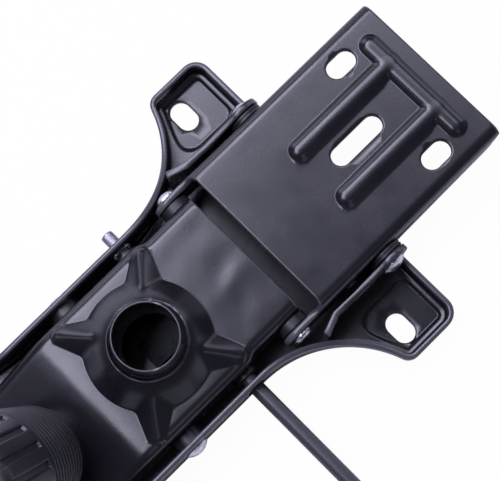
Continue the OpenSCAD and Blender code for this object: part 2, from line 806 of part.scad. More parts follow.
module mid_pivot_axle() {
    x = arm_outer + side_gap;
    color("silver") from_seat() {
        rod_x(-x, x + 1.8, mid_pivot_y, pivot_z, pin_r);
        mirror([1, 0, 0]) turned_x(x, mid_pivot_y, pivot_z) dome_profile(head_r - 0.5, 2 * head_rim, head_h);
    }
}

module axle_push_nut() {
    x = arm_outer + run_gap;
    color("silver") from_seat() difference() {
        turned_x(x, mid_pivot_y, pivot_z) dome_profile(head_r - 0.5, 2 * head_rim, head_h);
        rod_x(0, x + 2.3, mid_pivot_y, pivot_z, pin_r + run_gap);
    }
}

// Flanged plastic bushes of the rear pivots, between the bracket's arms and the lugs
module rear_pivot_bushes() {
    color("#1c1c1f") from_seat() both_sides() difference() {
        union() {
            rod_x(arm_inner - 1, arm_outer + over, rear_pivot_y, pivot_z, bush_r);
            rod_x(arm_outer, arm_outer + flange_bush_w, rear_pivot_y, pivot_z, lug_r - 0.4);
        }
        rod_x(0, 2 * arm_outer, rear_pivot_y, pivot_z, pin_r + run_gap);
    }
}

module thrust_washer() {
    z = sleeve_gap + sleeve_len - sleeve_web - washer_t;
    color("silver") from_seat() on_bolt() difference() {
        translate([0, 0, z]) cylinder(h = washer_t - run_gap, r = spring_r + wire_d / 2 + 1.5);
        translate([0, 0, z - over]) cylinder(h = washer_t + 2 * over, r = bolt_r + run_gap);
    }
}

// Ribbed sleeve that hides the spring: a flared tube with an inner web under the knob
module spring_sleeve() {
    pitch = sleeve_len / sleeve_ribs;
    flare = (knob_r - sleeve_r) / sleeve_len;
    wall = 2.2;
    groove = 0.9;
    ribs = [for (i = [0 : sleeve_ribs - 1]) for (k = [0 : 3])
        let (s = pitch * (i + [0.06, 0.3, 0.7, 0.94][k]), deep = [groove, 0, 0, groove][k])
        [sleeve_r + flare * s - deep, s]];
    color("#17171a") from_seat() on_bolt() translate([0, 0, sleeve_gap]) rotate_extrude($fn = 96) polygon(concat(
        [[sleeve_r - wall, 0]], ribs,
        [[knob_r - groove, sleeve_len], [bolt_r + 1, sleeve_len], [bolt_r + 1, sleeve_len - sleeve_web],
            [knob_r - wall - flare * sleeve_web, sleeve_len - sleeve_web]]
    ));
}

module tension_knob() {
    top = knob_len - cap_h / 2;
    hub_r = nut_r + 2;
    inner_r = knob_r - knob_wall - 1;
    color("#17171a") from_seat() on_bolt() translate([0, 0, knob_z]) difference() {
        rotate_extrude($fn = 96) polygon([
            [bolt_r + 1, 0], [knob_r, 0], [knob_r + 0.6, top - 5], [knob_r - 1, top - 1.5], [knob_r - 3, top],
            [inner_r - 2, top], [inner_r - 2, knob_len - cap_h], [inner_r, knob_len - cap_h - 2],
            [inner_r, knob_base], [hub_r, knob_base], [hub_r, knob_hub], [bolt_r + 1, knob_hub]
        ]);
        for (i = [0 : grooves - 1]) rotate([0, 0, 360 * (i + 0.5) / grooves])
            translate([knob_r + 0.35 * groove_w, 0, knob_base]) cylinder(h = top, r = groove_w / 2);
        translate([0, 0, knob_base]) cylinder(h = knob_hub, r = nut_r + run_gap, $fn = 6);
    }
}

module knob_nut() {
    color("silver") from_seat() on_bolt() translate([0, 0, knob_z + knob_base]) difference() {
        cylinder(h = nut_h, r = nut_r, $fn = 6);
        translate([0, 0, -over]) cylinder(h = nut_h + 2 * over, r = bolt_r + run_gap);
    }
}

// Domed cap in the knob's open end
module knob_cap() {
    r = knob_r - knob_wall - 3 - run_gap;
    color("#17171a") from_seat() on_bolt() translate([0, 0, knob_z + knob_len - cap_h]) rotate_extrude($fn = 96)
        polygon([[0, 0], [r, 0], [r, cap_h / 2], [r - 1, 0.8 * cap_h], [r / 2, cap_h], [0, cap_h]]);
}

// Tongue under the socket, keyed on the rod, that presses the gas spring's button
module gas_lift_tab() {
    hub_r = rod_r + 2;
    z = rod_z - hub_r - 0.5;
    tip = -tab_clamp;
    color("dimgray") from_seat() difference() {
        union() {
            rod_x(-tab_half, tab_half, rod_y, rod_z, hub_r);
            translate([-tongue_w / 2, rod_y - tab_clamp / 2, z]) cube([tongue_w, tab_clamp, hub_r]);
            translate([-tongue_w / 2, tip, z]) cube([tongue_w, rod_y - tip, tongue_t]);
        }
        rod_x(-tab_half - over, tab_half + over, rod_y, rod_z, rod_r + run_gap);
    }
}

module lever_rod() {
    color("#222226") from_seat() {
        rod_x(-pan_inner, handle_end - rod_short, rod_y, rod_z, rod_r);
        rod_x(-rod_left, -pan_inner, rod_y, rod_z, rod_end_d / 2);
    }
}

// Spring clip that keeps the rod from being pulled out
module lever_clip() {
    x = -housing_half + housing_t + 4.2;
    color("silver") from_seat() ring_x(x, x + 1.2, rod_y, rod_z, rod_r + 3, rod_r + run_gap);
}

// Plastic paddle on the lever: a round socket that runs out into a flat blade
module lever_handle() {
    x0 = handle_end - handle_len;
    r = handle_w / 2;
    color("#17171a") from_seat() difference() {
        union() {
            rod_x(x0, x0 + handle_len * 0.45, rod_y, rod_z, rod_r + 2.5);
            translate([0, 0, rod_z - handle_t / 2]) linear_extrude(height = handle_t) {
                translate([handle_end - r, rod_y]) circle(r = r);
                polygon([
                    [x0 + handle_len * 0.2, rod_y - rod_r - 2], [handle_end - r, rod_y - r],
                    [handle_end - r, rod_y + r], [x0 + handle_len * 0.2, rod_y + rod_r + 2]
                ]);
            }
        }
        rod_x(0, handle_end - rod_short + run_gap, rod_y, rod_z, rod_r + run_gap);
    }
}

seat_plate();
seat_lug_left();
seat_lug_right();
front_pivot_pin();
front_pivot_push_nut();
front_spacer_bushes();
rear_pivot_pins();
rear_pivot_rings();
bolt_anchor();
tension_bolt();
column_housing();
column_tube();
socket_brace();
lever_bushes();
mid_pivot_bushes();
spring_seat();
tension_spring();
back_bracket();
mid_pivot_axle();
axle_push_nut();
rear_pivot_bushes();
stop_rivets();
thrust_washer();
spring_sleeve();
tension_knob();
knob_nut();
knob_cap();
gas_lift_tab();
lever_rod();
lever_clip();
lever_handle();
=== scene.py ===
import json
import math

import bpy
import numpy as np
from mathutils import Matrix, Vector
from mathutils.geometry import delaunay_2d_cdt


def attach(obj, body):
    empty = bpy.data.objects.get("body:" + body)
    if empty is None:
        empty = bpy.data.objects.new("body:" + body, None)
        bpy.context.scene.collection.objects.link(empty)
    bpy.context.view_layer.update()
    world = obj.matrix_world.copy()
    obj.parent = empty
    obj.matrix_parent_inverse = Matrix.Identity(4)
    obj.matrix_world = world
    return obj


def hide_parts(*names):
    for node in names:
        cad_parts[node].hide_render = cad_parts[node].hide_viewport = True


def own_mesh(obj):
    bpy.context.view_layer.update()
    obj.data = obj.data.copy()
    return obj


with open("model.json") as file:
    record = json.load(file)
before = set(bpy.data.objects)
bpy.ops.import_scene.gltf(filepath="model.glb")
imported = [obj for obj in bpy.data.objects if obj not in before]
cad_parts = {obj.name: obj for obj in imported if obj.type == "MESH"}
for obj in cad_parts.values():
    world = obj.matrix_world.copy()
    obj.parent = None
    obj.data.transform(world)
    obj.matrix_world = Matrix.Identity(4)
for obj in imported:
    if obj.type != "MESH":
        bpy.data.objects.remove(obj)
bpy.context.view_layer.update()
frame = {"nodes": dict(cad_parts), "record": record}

# Lengths below are in millimetres, and heights are measured from the seat face
MOUTH = 59.0
MM = 0.001

HOUSING_HALF, HOUSING_STEP, HOUSING_T, HOUSING_H = 36.3, 2.0, 2.5, 35.0
HOUSING_FRONT, HOUSING_REAR, HOUSING_BEND = -98.0, 56.0, 5.0
RAMP_START, RAMP = 36.0, math.radians(23)
SKIRT_LOW, SKIRT_HIGH = 5.3, 15.8
DOME_R, DOME_TOP_R, DOME_H, DOME_Y = 28.8, 17.3, 13.6, -1.6
RIDGE_ANGLES, RIDGE_END = (39.2, 140.8, 219.2, 320.8), 40.5
TUBE_R, BORE_R, TUBE_LEN = 16.2, 14.2, 35.0
STEP_Y = 23.7

PAN_T, PAN_FLOOR, PAN_DROP = 2.5, 4.0, 1.5
PAN_HALF, PAN_REAR, PAN_FRONT = 44.25, 107.2, -131.0
RIM_H, EAR_RIM_H = 29.0, 13.0
LUG_INNER, LUG_OUTER = 45.4, 48.4
EAR_ARC, EAR_CORNER, EAR_TIP = 54, 6, 8
REAR_SLOT, FRONT_SLOT, SEAT_SLOT_SIZE = (70.0, 84.4), (80.0, -115.6), (15, 10)
REAR_PAD, FRONT_PAD, PAD_EDGE = (54.2, 72.2), (62.5, 102.6), 5.4

BRACKET_HALF, BRACKET_T, BRACKET_H, BRACKET_BEND = 42.0, 3.0, 36.0, 5.0
WEB_FRONT, BRACKET_REAR = 63.6, 173.0
ARM_INNER = 39.0
RIB_R, RIB_H, RIB_X, RIB_REAR, RIB_FRONT = 5.1, 2.5, 14.5, 160.8, 105.0
BAR_SLOT, BAR_SLOT_SIZE, MIDDLE_SLOT = (29.2, 145.6), (9.4, 15), (0, 125.8, 9.2, 28.6)

REAR_PIVOT, MID_PIVOT, FRONT_PIVOT = (100.2, 23.5), (49.3, 23.5), (-17.8, 16.0)
ROD, ROD_R, ROD_HOLE, ROD_LEFT, ROD_RIGHT = (19.2, 17.0), 3.5, 5.55, -41.75, 182.0
RIVET, RIVET_HOLE = (81.0, 20.5), 2.05
PIN_R, PIN_BORE, BUSH_R, BUSH_HOLE = 4.0, 4.05, 5.6, 5.65
# Domed heads: radius, height of the rim, height of the dome
PIN_HEAD, AXLE_HEAD, RIVET_HEAD = (6, 0.5, 2.6), (5.5, 1.0, 2.6), (3.6, 0.5, 1.4)

BOLT_Y = 65.0
RAMP_Z = HOUSING_H - (BOLT_Y - RAMP_START) * math.tan(RAMP)
SLEEVE_GAP, SLEEVE_LEN, SLEEVE_R = 12.0, 36.0, 23.0
KNOB_R, KNOB_LEN, KNOB_Z = 28.5, 40.0, 48.3
SLEEVE_END, WASHER_T, COIL_GAP, COIL_SEAT_T, CAP_DEPTH = 2, 2.5, 1.2, 3, 4


def smooth(t):
    """A smooth step from 0 to 1."""
    t = np.clip(t, 0, 1)
    return t * t * (3 - 2 * t)


def smax(a, b, k):
    """The larger of a and b, with the crease between them rounded."""
    h = np.clip(k - np.abs(a - b), 0, None) / k
    return np.maximum(a, b) + h * h * k / 4


def smin(a, b, k):
    return -smax(-a, -b, k)


# Meshes

def make_mesh(name, points, faces, sharp=38):
    """A new object from points in millimetres above the seat face."""
    points = np.asarray(points, float) * MM
    points[:, 2] -= MOUTH * MM
    mesh = bpy.data.meshes.new(name)
    mesh.from_pydata(points.tolist(), [], faces)
    mesh.validate()
    mesh.shade_smooth()
    mesh.set_sharp_from_angle(angle=math.radians(sharp))
    obj = bpy.data.objects.new(name, mesh)
    bpy.context.scene.collection.objects.link(obj)
    return obj


def apply_modifiers(obj):
    """Replaces the mesh of obj by what its modifiers make of it."""
    bpy.context.view_layer.update()
    graph = bpy.context.evaluated_depsgraph_get()
    mesh = bpy.data.meshes.new_from_object(obj.evaluated_get(graph))
    obj.modifiers.clear()
    obj.data = mesh
    return obj


def cut(obj, *cutters, sharp=38):
    """Cuts the cutters out of obj and deletes them."""
    for cutter in cutters:
        m = obj.modifiers.new("cut", "BOOLEAN")
        m.object, m.operation, m.solver = cutter, "DIFFERENCE", "EXACT"
    apply_modifiers(obj)
    for cutter in cutters:
        bpy.data.objects.remove(cutter)
    obj.data.shade_smooth()
    obj.data.set_sharp_from_angle(angle=math.radians(sharp))
    return obj


def prism(outline, low, high, axis):
    """A closed prism of an outline, for cuts. axis 0 draws (y, z) along X, and axis 2 draws (x, y) along Z."""
    n = len(outline)
    rows = []
    for level in (low, high):
        for u, v in outline:
            rows.append((level, u, v) if axis == 0 else (u, v, level))
    faces = [list(range(n))[::-1], list(range(n, 2 * n))]
    faces += [[i, (i + 1) % n, n + (i + 1) % n, n + i] for i in range(n)]
    return make_mesh("cutter", rows, faces)


def arc(centre, r, start, end, n):
    """n + 1 points of an arc, with the angles in degrees."""
    a = np.radians(np.linspace(start, end, n + 1))
    return np.stack([centre[0] + r * np.cos(a), centre[1] + r * np.sin(a)], 1)


def slot_outline(x, y, len_x, len_y, n=14):
    """A slot of round ends, anticlockwise."""
    r = min(len_x, len_y) / 2
    dx, dy = len_x / 2 - r, len_y / 2 - r
    if dx > dy:
        ends = [arc((x + dx, y), r, -90, 90, n), arc((x - dx, y), r, 90, 270, n)]
    else:
        ends = [arc((x, y + dy), r, 0, 180, n), arc((x, y - dy), r, 180, 360, n)]
    return np.concatenate(ends)


def spaced(loop, step):
    """The loop with extra points on its long sides."""
    out = []
    for a, b in zip(loop, np.roll(loop, -1, 0)):
        n = max(1, int(math.ceil(np.linalg.norm(b - a) / step)))
        out += [a + (b - a) * k / n for k in range(n)]
    return distinct(np.array(out))


def distinct(loop):
    """The loop without points that repeat."""
    step = np.linalg.norm(np.roll(loop, -1, 0) - loop, axis=1)
    return loop[step > 1e-3]


def area(loop):
    x, y = loop[:, 0], loop[:, 1]
    return 0.5 * np.sum(x * np.roll(y, -1) - y * np.roll(x, -1))


def inward(loop, d):
    """The loop moved to its left by d: inwards for an anticlockwise one."""
    ahead = np.roll(loop, -1, 0) - loop
    ahead /= np.linalg.norm(ahead, axis=1, keepdims=True)
    back = np.roll(ahead, 1, 0)
    n1 = np.stack([-back[:, 1], back[:, 0]], 1)
    n2 = np.stack([-ahead[:, 1], ahead[:, 0]], 1)
    mean = n1 + n2
    mean /= np.linalg.norm(mean, axis=1, keepdims=True)
    stretch = 1 / np.clip((mean * n2).sum(1, keepdims=True), 0.5, 1)
    return loop + mean * d * stretch


def signed(points, loop):
    """Distance of points to a closed loop, above zero inside it."""
    out = np.empty(len(points))
    a, b = loop, np.roll(loop, -1, 0)
    for s in range(0, len(points), 4000):
        p = points[s:s + 4000, None, :]
        ab = b - a
        t = np.clip(((p - a) * ab).sum(2) / (ab * ab).sum(1), 0, 1)
        d = np.linalg.norm(p - (a + t[..., None] * ab), axis=2).min(1)
        py, px = p[..., 1], p[..., 0]
        crosses = (a[:, 1] > py) != (b[:, 1] > py)
        with np.errstate(divide="ignore", invalid="ignore"):
            x = a[:, 0] + (py - a[:, 1]) * (b[:, 0] - a[:, 0]) / (b[:, 1] - a[:, 1])
        inside = (crosses & (px < x)).sum(1) % 2 == 1
        out[s:s + 4000] = np.where(inside, d, -d)
    return out


def adaptive(low, high, shape, coarse=12, sharp=0.03, soft=0.003):
    """Points of a fine lattice, kept close together only where the shape bends."""
    cell = 0.25
    u = np.arange(math.floor(low[0] / cell), math.ceil(high[0] / cell) + 1) * cell
    v = np.arange(math.floor(low[1] / cell), math.ceil(high[1] / cell) + 1) * cell
    U, V = np.meshgrid(u, v, indexing="ij")
    P = shape(U.ravel(), V.ravel()).reshape(U.shape + (3,))
    bend = np.zeros(U.shape)
    bend[1:-1] = np.linalg.norm(np.diff(P, 2, axis=0), axis=2)
    bend[:, 1:-1] = np.maximum(bend[:, 1:-1], np.linalg.norm(np.diff(P, 2, axis=1), axis=2))

    def widen(field, times):
        for _ in range(times):
            wide = field.copy()
            for shift in (-1, 1):
                for ax in (0, 1):
                    wide = np.maximum(wide, np.roll(field, shift, ax))
            field = wide
        return field
    i, j = np.indices(U.shape)
    keep = widen(bend, 1) > sharp
    keep |= (i % 2 == 0) & (j % 2 == 0) & ((widen(bend, 3) > sharp) | (bend > sharp / 2))
    keep |= (i % 4 == 0) & (j % 4 == 0) & (widen(bend, 3) > soft)
    keep |= (i % coarse == 0) & (j % coarse == 0)
    return np.stack([U[keep], V[keep]], 1)


def triangulate(loops, inner):
    """Triangles of the flat area inside the first loop and outside the others, with more points inside it.
    Returns the points, the triangles, and where each point of the loops has gone."""
    edges, start = [], 0
    for l in loops:
        edges += [(start + k, start + (k + 1) % len(l)) for k in range(len(l))]
        start += len(l)
    flat = np.concatenate(loops + inner)
    verts, _, faces, origin, _, _ = delaunay_2d_cdt([Vector(p) for p in flat], edges, [], 0, 1e-6)
    uv = np.array([tuple(v) for v in verts])
    faces = np.array([tuple(f) for f in faces])
    where = {src: k for k, sources in enumerate(origin) for src in sources}
    mid = uv[faces].mean(1)
    inside = signed(mid, loops[0]) > 1e-3
    for l in loops[1:]:
        inside &= signed(mid, l) < -1e-3
    return uv, faces[inside], where


def edge_faces(ring, base, below):
    """Faces of a cut edge, from its upper ring down: chamfer, wall and chamfer."""
    m, faces = len(ring), []
    for k in range(m):
        q = (k + 1) % m
        a, b = base + k, base + q
        faces.append((ring[q], ring[k], a, b))
        faces.append((b, a, a + m, b + m))
        faces.append((b + m, a + m, below + ring[k], below + ring[q]))
    return faces


def ring_faces(rows, n, closed=False):
    """Faces between rings of n points. Where it is closed, the last ring joins the first."""
    faces = []
    for k in range(rows if closed else rows - 1):
        q = (k + 1) % rows
        for i in range(n):
            j = (i + 1) % n
            faces.append((k * n + i, k * n + j, q * n + j, q * n + i))
    return faces


def pressed(name, outer, holes, shape, thick, edge, low, high, under=None, coarse=12):
    """Sheet metal: a flat pattern with holes, which shape(u, v) folds into its place.
    Each cut edge of the sheet is broken by a small chamfer."""
    under = under or shape
    loops = [distinct(l) for l in [outer] + list(holes)]
    loops = [l if (area(l) > 0) == (k == 0) else l[::-1] for k, l in enumerate(loops)]
    tops = [inward(l, edge) for l in loops]
    support = [inward(l, edge + 0.6) for l in loops]
    extra = adaptive(low, high, shape, coarse)
    gap = signed(extra, loops[0])
    for l in loops[1:]:
        gap = np.minimum(gap, -signed(extra, l))
    extra = extra[gap > edge + 1.0]
    uv, faces, where = triangulate(tops, support + [extra])

    def normals(points, fold, h):
        u, v = points[:, 0], points[:, 1]
        n = np.cross(fold(u + h, v) - fold(u - h, v), fold(u, v + h) - fold(u, v - h))
        return n / np.linalg.norm(n, axis=1, keepdims=True)

    top = shape(uv[:, 0], uv[:, 1])
    down = under(uv[:, 0], uv[:, 1]) - thick * normals(uv, under, 1.2)
    n = len(uv)
    points = [top, down]
    tris = [tuple(f) for f in faces] + [tuple(n + k for k in f[::-1]) for f in faces]
    base, start = 2 * n, 0
    for l in loops:
        N = normals(l, shape, 0.3)
        at = shape(l[:, 0], l[:, 1])
        points += [at - edge * N, at - (thick - edge) * N]
        tris += edge_faces([where[start + k] for k in range(len(l))], base, n)
        base += 2 * len(l)
        start += len(l)
    return make_mesh(name, np.concatenate(points), tris, 52)


def turned(name, parts, segments=64, sharp=38):
    """Turned pieces: each part is (profile, place), with the profile as closed (radius, height) points
    and place a function from (x, y, height) points to millimetres above the seat face."""
    points, faces = [], []
    for profile, place in parts:
        start = len(points)
        m = len(profile)
        a = np.linspace(0, 2 * math.pi, segments, endpoint=False)
        rows = np.array([[r * math.cos(t), r * math.sin(t), h] for t in a for r, h in profile])
        points += place(rows).tolist()
        for i in range(segments):
            j = (i + 1) % segments
            for k in range(m):
                q = (k + 1) % m
                if profile[k][0] < 1e-6 and profile[q][0] < 1e-6:
                    continue
                ids = [start + i * m + k, start + j * m + k, start + j * m + q, start + i * m + q]
                faces.append(ids)
    obj = make_mesh(name, points, faces, sharp)
    weld = obj.modifiers.new("weld", "WELD")
    weld.merge_threshold = 1e-6
    apply_modifiers(obj)
    obj.data.validate()
    obj.data.shade_smooth()
    obj.data.set_sharp_from_angle(angle=math.radians(sharp))
    return obj


def soften(profile, e):
    """Breaks the corners of a closed profile by e."""
    p = np.array(profile, float)
    out = []
    for a, b, c in zip(np.roll(p, 1, 0), p, np.roll(p, -1, 0)):
        if b[0] < 1e-6:
            out.append(b)
            continue
        for q in (a, c):
            d = np.linalg.norm(q - b)
            out.append(b + (q - b) * min(e, d / 3) / d)
    return out


def along_x(x0, y, z, side=1):
    """Places a turned piece with its axis along X, from x0 outwards, on the +X or -X side."""
    def place(p):
        return np.stack([side * (x0 + p[:, 2]), y + p[:, 0], z + side * p[:, 1]], 1)
    return place


def along_z(z0):
    def place(p):
        return p + np.array([0, 0, z0])
    return place


def on_bolt(p):
    """Points in the frame of the tension bolt, to millimetres above the seat face."""
    p = np.asarray(p, float)
    c, s = math.cos(RAMP), math.sin(RAMP)
    return np.stack([p[:, 0], -BOLT_Y + c * p[:, 1] - s * p[:, 2], RAMP_Z + s * p[:, 1] + c * p[:, 2]], 1)


def ring_profile(inner, outer, length, e):
    """A ring with broken corners. It is a shaft where inner is 0."""
    return soften([(inner, 0), (outer, 0), (outer, length), (inner, length)], e)


def dome_profile(r, rim, h, inner=0.0, n=10):
    """A domed head on a short rim."""
    ball = (r * r + h * h) / (2 * h)
    half = math.asin(r / ball)
    points = [(inner, 0), (r - 0.2, 0), (r, 0.2)]
    last = 0 if inner == 0 else math.asin(inner / ball)
    for k in range(n + 1):
        a = half + (last - half) * k / n
        points.append((ball * math.sin(a) if k < n or inner else 0.0, rim + h - ball + ball * math.cos(a)))
    return points


# Housing: a channel whose top is level and then falls to the front, with the star pressed into it

def housing_lines(v):
    """Top height, half width, bend radius and lower edge of the housing at a distance v from the socket."""
    w = 2.2
    ahead = (-RAMP_START - v) / w
    fall = w * np.where(ahead > 30, ahead, np.log1p(np.exp(np.minimum(ahead, 30)))) * math.tan(RAMP)
    top = HOUSING_H - fall
    half = HOUSING_HALF - HOUSING_STEP * smooth((v - STEP_Y) / (3 * HOUSING_STEP))
    low = np.where(v < FRONT_PIVOT[0], SKIRT_LOW,
                   SKIRT_LOW + (SKIRT_HIGH - SKIRT_LOW) * (v - FRONT_PIVOT[0]) / (HOUSING_REAR - FRONT_PIVOT[0]))
    bend = np.minimum(HOUSING_BEND, top - low - 0.5)
    return top, half, bend, low


def star(x, y, bead):
    """Height of the pressed star above the plate, with the crisp draw line where it starts."""
    low = y - DOME_Y
    lean = np.clip((DOME_R - np.hypot(x, low)) / 11, 0, 1)
    r = np.hypot(x, low - 1.0 * lean)
    cone = 1.22 * (DOME_R - r)
    form = smin(cone, DOME_H - 0.22 * (r - DOME_TOP_R), 5.5)
    form = smin(form, DOME_H - 1.5 - 1.6 * (DOME_TOP_R - r), 0.5)
    ridge = np.full_like(x, -99.0)
    for turn in RIDGE_ANGLES:
        c, s = math.cos(math.radians(turn)), math.sin(math.radians(turn))
        along, off = x * c + low * s, np.abs(-x * s + low * c)
        crest = 1.6 + 0.35 * (RIDGE_END - along) - 0.22 * np.clip(along - RIDGE_END, 0, 9) ** 1.6
        half = np.clip(4.0 + 0.3125 * (RIDGE_END - along), 2.5, 12)
        slope = np.maximum(crest, 1.0) / (np.sqrt(half ** 2 + 4) - 2)
        one = crest - slope * (np.sqrt(off ** 2 + 4) - 2)
        one = np.where(along < 8, -99, one)
        ridge = np.maximum(ridge, one)
    form = smax(form, ridge, 2.0)
    height = smax(form, 0 * form, 0.15 if bead else 1.2)
    if bead:
        height = height + 0.07 * np.exp(-(form / 0.2) ** 2)
    return height


def dents(x, y):
    """Slight waves of the pressed plate round the star, and the creases behind it."""
    wave = np.sin(0.36 * (x - 2) + 0.5 * np.sin(0.17 * y))
    crease = np.tanh((x + 0.5 - 0.36 * (52 - y)) / 1.8) * np.exp(-((y - 46) / 8) ** 2 - ((x - 3) / 12) ** 2)
    broad = np.sin(0.11 * x + 0.4) * np.sin(0.09 * y)
    patch = 0.5 + 0.5 * np.sin(0.13 * x + 0.19 * y - 0.7) * np.sin(0.08 * x - 0.12 * y + 0.5)
    fall = np.clip(-x - 23, 0, 16) ** 2 * smooth((y + 20) / 10) * smooth((26 - y) / 10)
    return (0.13 * wave * patch + 0.12 * crease) * smooth((y - 18) / 22) + 0.06 * broad - 0.0014 * fall


def housing_fold(bead):
    """The function that folds the housing's flat pattern, with or without the star's crisp draw line."""
    def fold(u, v):
        top, half, bend, _ = housing_lines(v)
        flat = half - bend
        side, s = np.sign(u), np.abs(u)
        turn = np.clip((s - flat) / bend, 0, math.pi / 2)
        drop = np.clip(s - flat - bend * math.pi / 2, 0, None)
        x = np.minimum(s, flat) + bend * np.sin(turn)
        z = top - bend * (1 - np.cos(turn)) - drop
        press = star(side * x, v, bead) + dents(side * x, v)
        return np.stack([side * x, v, z + press * np.cos(turn) * smooth((HOUSING_REAR + 2 - v) / 4)], 1)
    return fold


def wall_u(y, z):
    """Place in the housing's flat pattern of a point of its side wall."""
    top, half, bend, _ = housing_lines(np.array([float(y)]))
    return (half - bend + bend * math.pi / 2 + top - bend - z)[0]


def circle_on_wall(y, z, r, side, n=28, stretch=(0, 0)):
    """A hole of the side wall in the flat pattern. stretch moves its front and its rear half along Y."""
    out = []
    for k in range(n):
        a = 2 * math.pi * k / n
        py, pz = y + r * math.cos(a), z + r * math.sin(a)
        py += stretch[1] if math.cos(a) > 0 else stretch[0]
        out.append((side * wall_u(py, pz), py))
    return np.array(out)


def housing_shell():
    ys = np.concatenate([np.linspace(HOUSING_FRONT, -40, 24), np.linspace(-36, 60, 49)[:-2]])
    ys = ys[ys < HOUSING_REAR - 0.5]
    ys = np.append(ys, HOUSING_REAR)
    reach = np.array([wall_u(y, float(housing_lines(np.array([y]))[3][0])) for y in ys])
    right = np.stack([reach, ys], 1)
    left = np.stack([-reach, ys], 1)[::-1]
    outline = spaced(np.concatenate([right, left]), 2.0)
    holes = [arc((0, 0), TUBE_R + 0.05, 0, 355, 71)]
    for side in (-1, 1):
        holes.append(circle_on_wall(*MID_PIVOT, BUSH_HOLE, side))
        holes.append(circle_on_wall(*ROD, ROD_HOLE, side))
        holes.append(circle_on_wall(*FRONT_PIVOT, PIN_R + 0.4, side, stretch=(-1.2, 0.5)))
    holes.append(slot_outline(0, -BOLT_Y - 2.6, 12, 17))
    wide = reach.max() + 1
    return pressed("housing_shell", outline, holes, housing_fold(True), HOUSING_T, 0.35,
                   (-wide, HOUSING_FRONT), (wide, HOUSING_REAR), under=housing_fold(False))


# Back bracket: a channel with pressed ribs and slots, and two arms to the middle pivot

def ribs(x, y, bead):
    """Height of the bracket's pressed ribs."""
    half = 26.0

    def bar(d):
        return RIB_H * 1.1 * (1 - (d / RIB_R) ** 2)
    form = bar(np.hypot(np.clip(np.abs(x) - half, 0, None), y - RIB_REAR))
    for side in (-1, 1):
        past = np.clip(RIB_FRONT - y, 0, None) + np.clip(y - RIB_REAR, 0, None)
        form = smax(form, bar(np.hypot(x - side * RIB_X, past)), 1.1)
    form = smin(form, RIB_H + 0 * form, 0.7)
    # The left flanks end in a crisp line, the right ones run out
    soft = np.zeros_like(x)
    for side in (-1, 1):
        across = smooth((x - side * RIB_X + 1) / 4) * smooth((side * RIB_X + 14 - x) / 4)
        soft = np.maximum(soft, across * smooth((156 - y) / 5))
    k = 0.2 + 1.6 * soft
    h = np.maximum(k - np.abs(form), 0) / k
    height = np.maximum(form, 0) + h * h * k / 4
    if not bead:
        return smax(form, 0 * form, 1.2)
    return height + 0.06 * (1 - soft) * smooth((y - 108) / 14) * np.exp(-(form / 0.2) ** 2)


def bracket_fold(bead):
    """The function that folds the bracket's flat pattern, with or without the ribs' crisp lines."""
    flat = BRACKET_HALF - BRACKET_BEND

    def fold(u, v):
        side, s = np.sign(u), np.abs(u)
        turn = np.clip((s - flat) / BRACKET_BEND, 0, math.pi / 2)
        drop = np.clip(s - flat - BRACKET_BEND * math.pi / 2, 0, None)
        x = np.minimum(s, flat) + BRACKET_BEND * np.sin(turn)
        z = BRACKET_H - BRACKET_BEND * (1 - np.cos(turn)) - drop
        return np.stack([side * x, v, z + ribs(side * x, v, bead) * np.cos(turn)], 1)
    return fold


def flange_u(z):
    """Place in the bracket's flat pattern of a height on its side."""
    flat = BRACKET_HALF - BRACKET_BEND
    if z >= BRACKET_H - BRACKET_BEND:
        return flat + BRACKET_BEND * math.acos((z - BRACKET_H + BRACKET_BEND) / BRACKET_BEND)
    return flat + BRACKET_BEND * math.pi / 2 + BRACKET_H - BRACKET_BEND - z


def bracket_shell():
    arm_r, lug_r = 8.0, 9.0
    y2, z2 = REAR_PIVOT
    y1, z1 = MID_PIVOT
    low = BRACKET_H - 14
    side = [(WEB_FRONT, 36.0), (WEB_FRONT - 0.8, 35.0), (WEB_FRONT - 2.2, 33.6), (WEB_FRONT - 5, 32.2)]
    side += [(y1 + arm_r * math.cos(a), z1 + arm_r * math.sin(a)) for a in np.radians(np.linspace(90, 270, 19))]
    side += [(WEB_FRONT, z2 - lug_r - 1), (y2, z2 - lug_r - 1)]
    side += [(y2 + lug_r + 6, z2 - lug_r + 2), (BRACKET_REAR - 12, low - 0.2)]
    side += [(BRACKET_REAR - 9 + 5 * math.sin(a), low + 5 - 5 * math.cos(a)) for a in np.radians((0, 30, 60, 90))]
    right = [(flange_u(z), y) for y, z in side]
    # The rounded rear corner, from the flange over the bend to the web
    corner = flange_u(low + 5) - 4
    right += [(corner, BRACKET_REAR - 1.4), (corner - 1.4, BRACKET_REAR)]
    right = np.array(right)
    left = right[::-1] * np.array([-1, 1])
    outline = spaced(np.concatenate([right, left]), 2.0)
    holes = [slot_outline(s * BAR_SLOT[0], BAR_SLOT[1], *BAR_SLOT_SIZE) for s in (-1, 1)]
    holes.append(slot_outline(*MIDDLE_SLOT))
    for s in (-1, 1):
        for (y, z), r in ((MID_PIVOT, PIN_BORE), (REAR_PIVOT, BUSH_HOLE), (RIVET, RIVET_HOLE)):
            ring = arc((0, 0), r, 0, 345, 23)
            holes.append(np.array([(s * flange_u(z + b), y + a) for a, b in ring]))
    wide = right[:, 0].max() + 1
    return pressed("bracket_shell", outline, holes, bracket_fold(True), BRACKET_T, 0.4,
                   (-wide, 40), (wide, BRACKET_REAR), under=bracket_fold(False))


# Seat plate: a pan with rims of changing height and four recessed ears

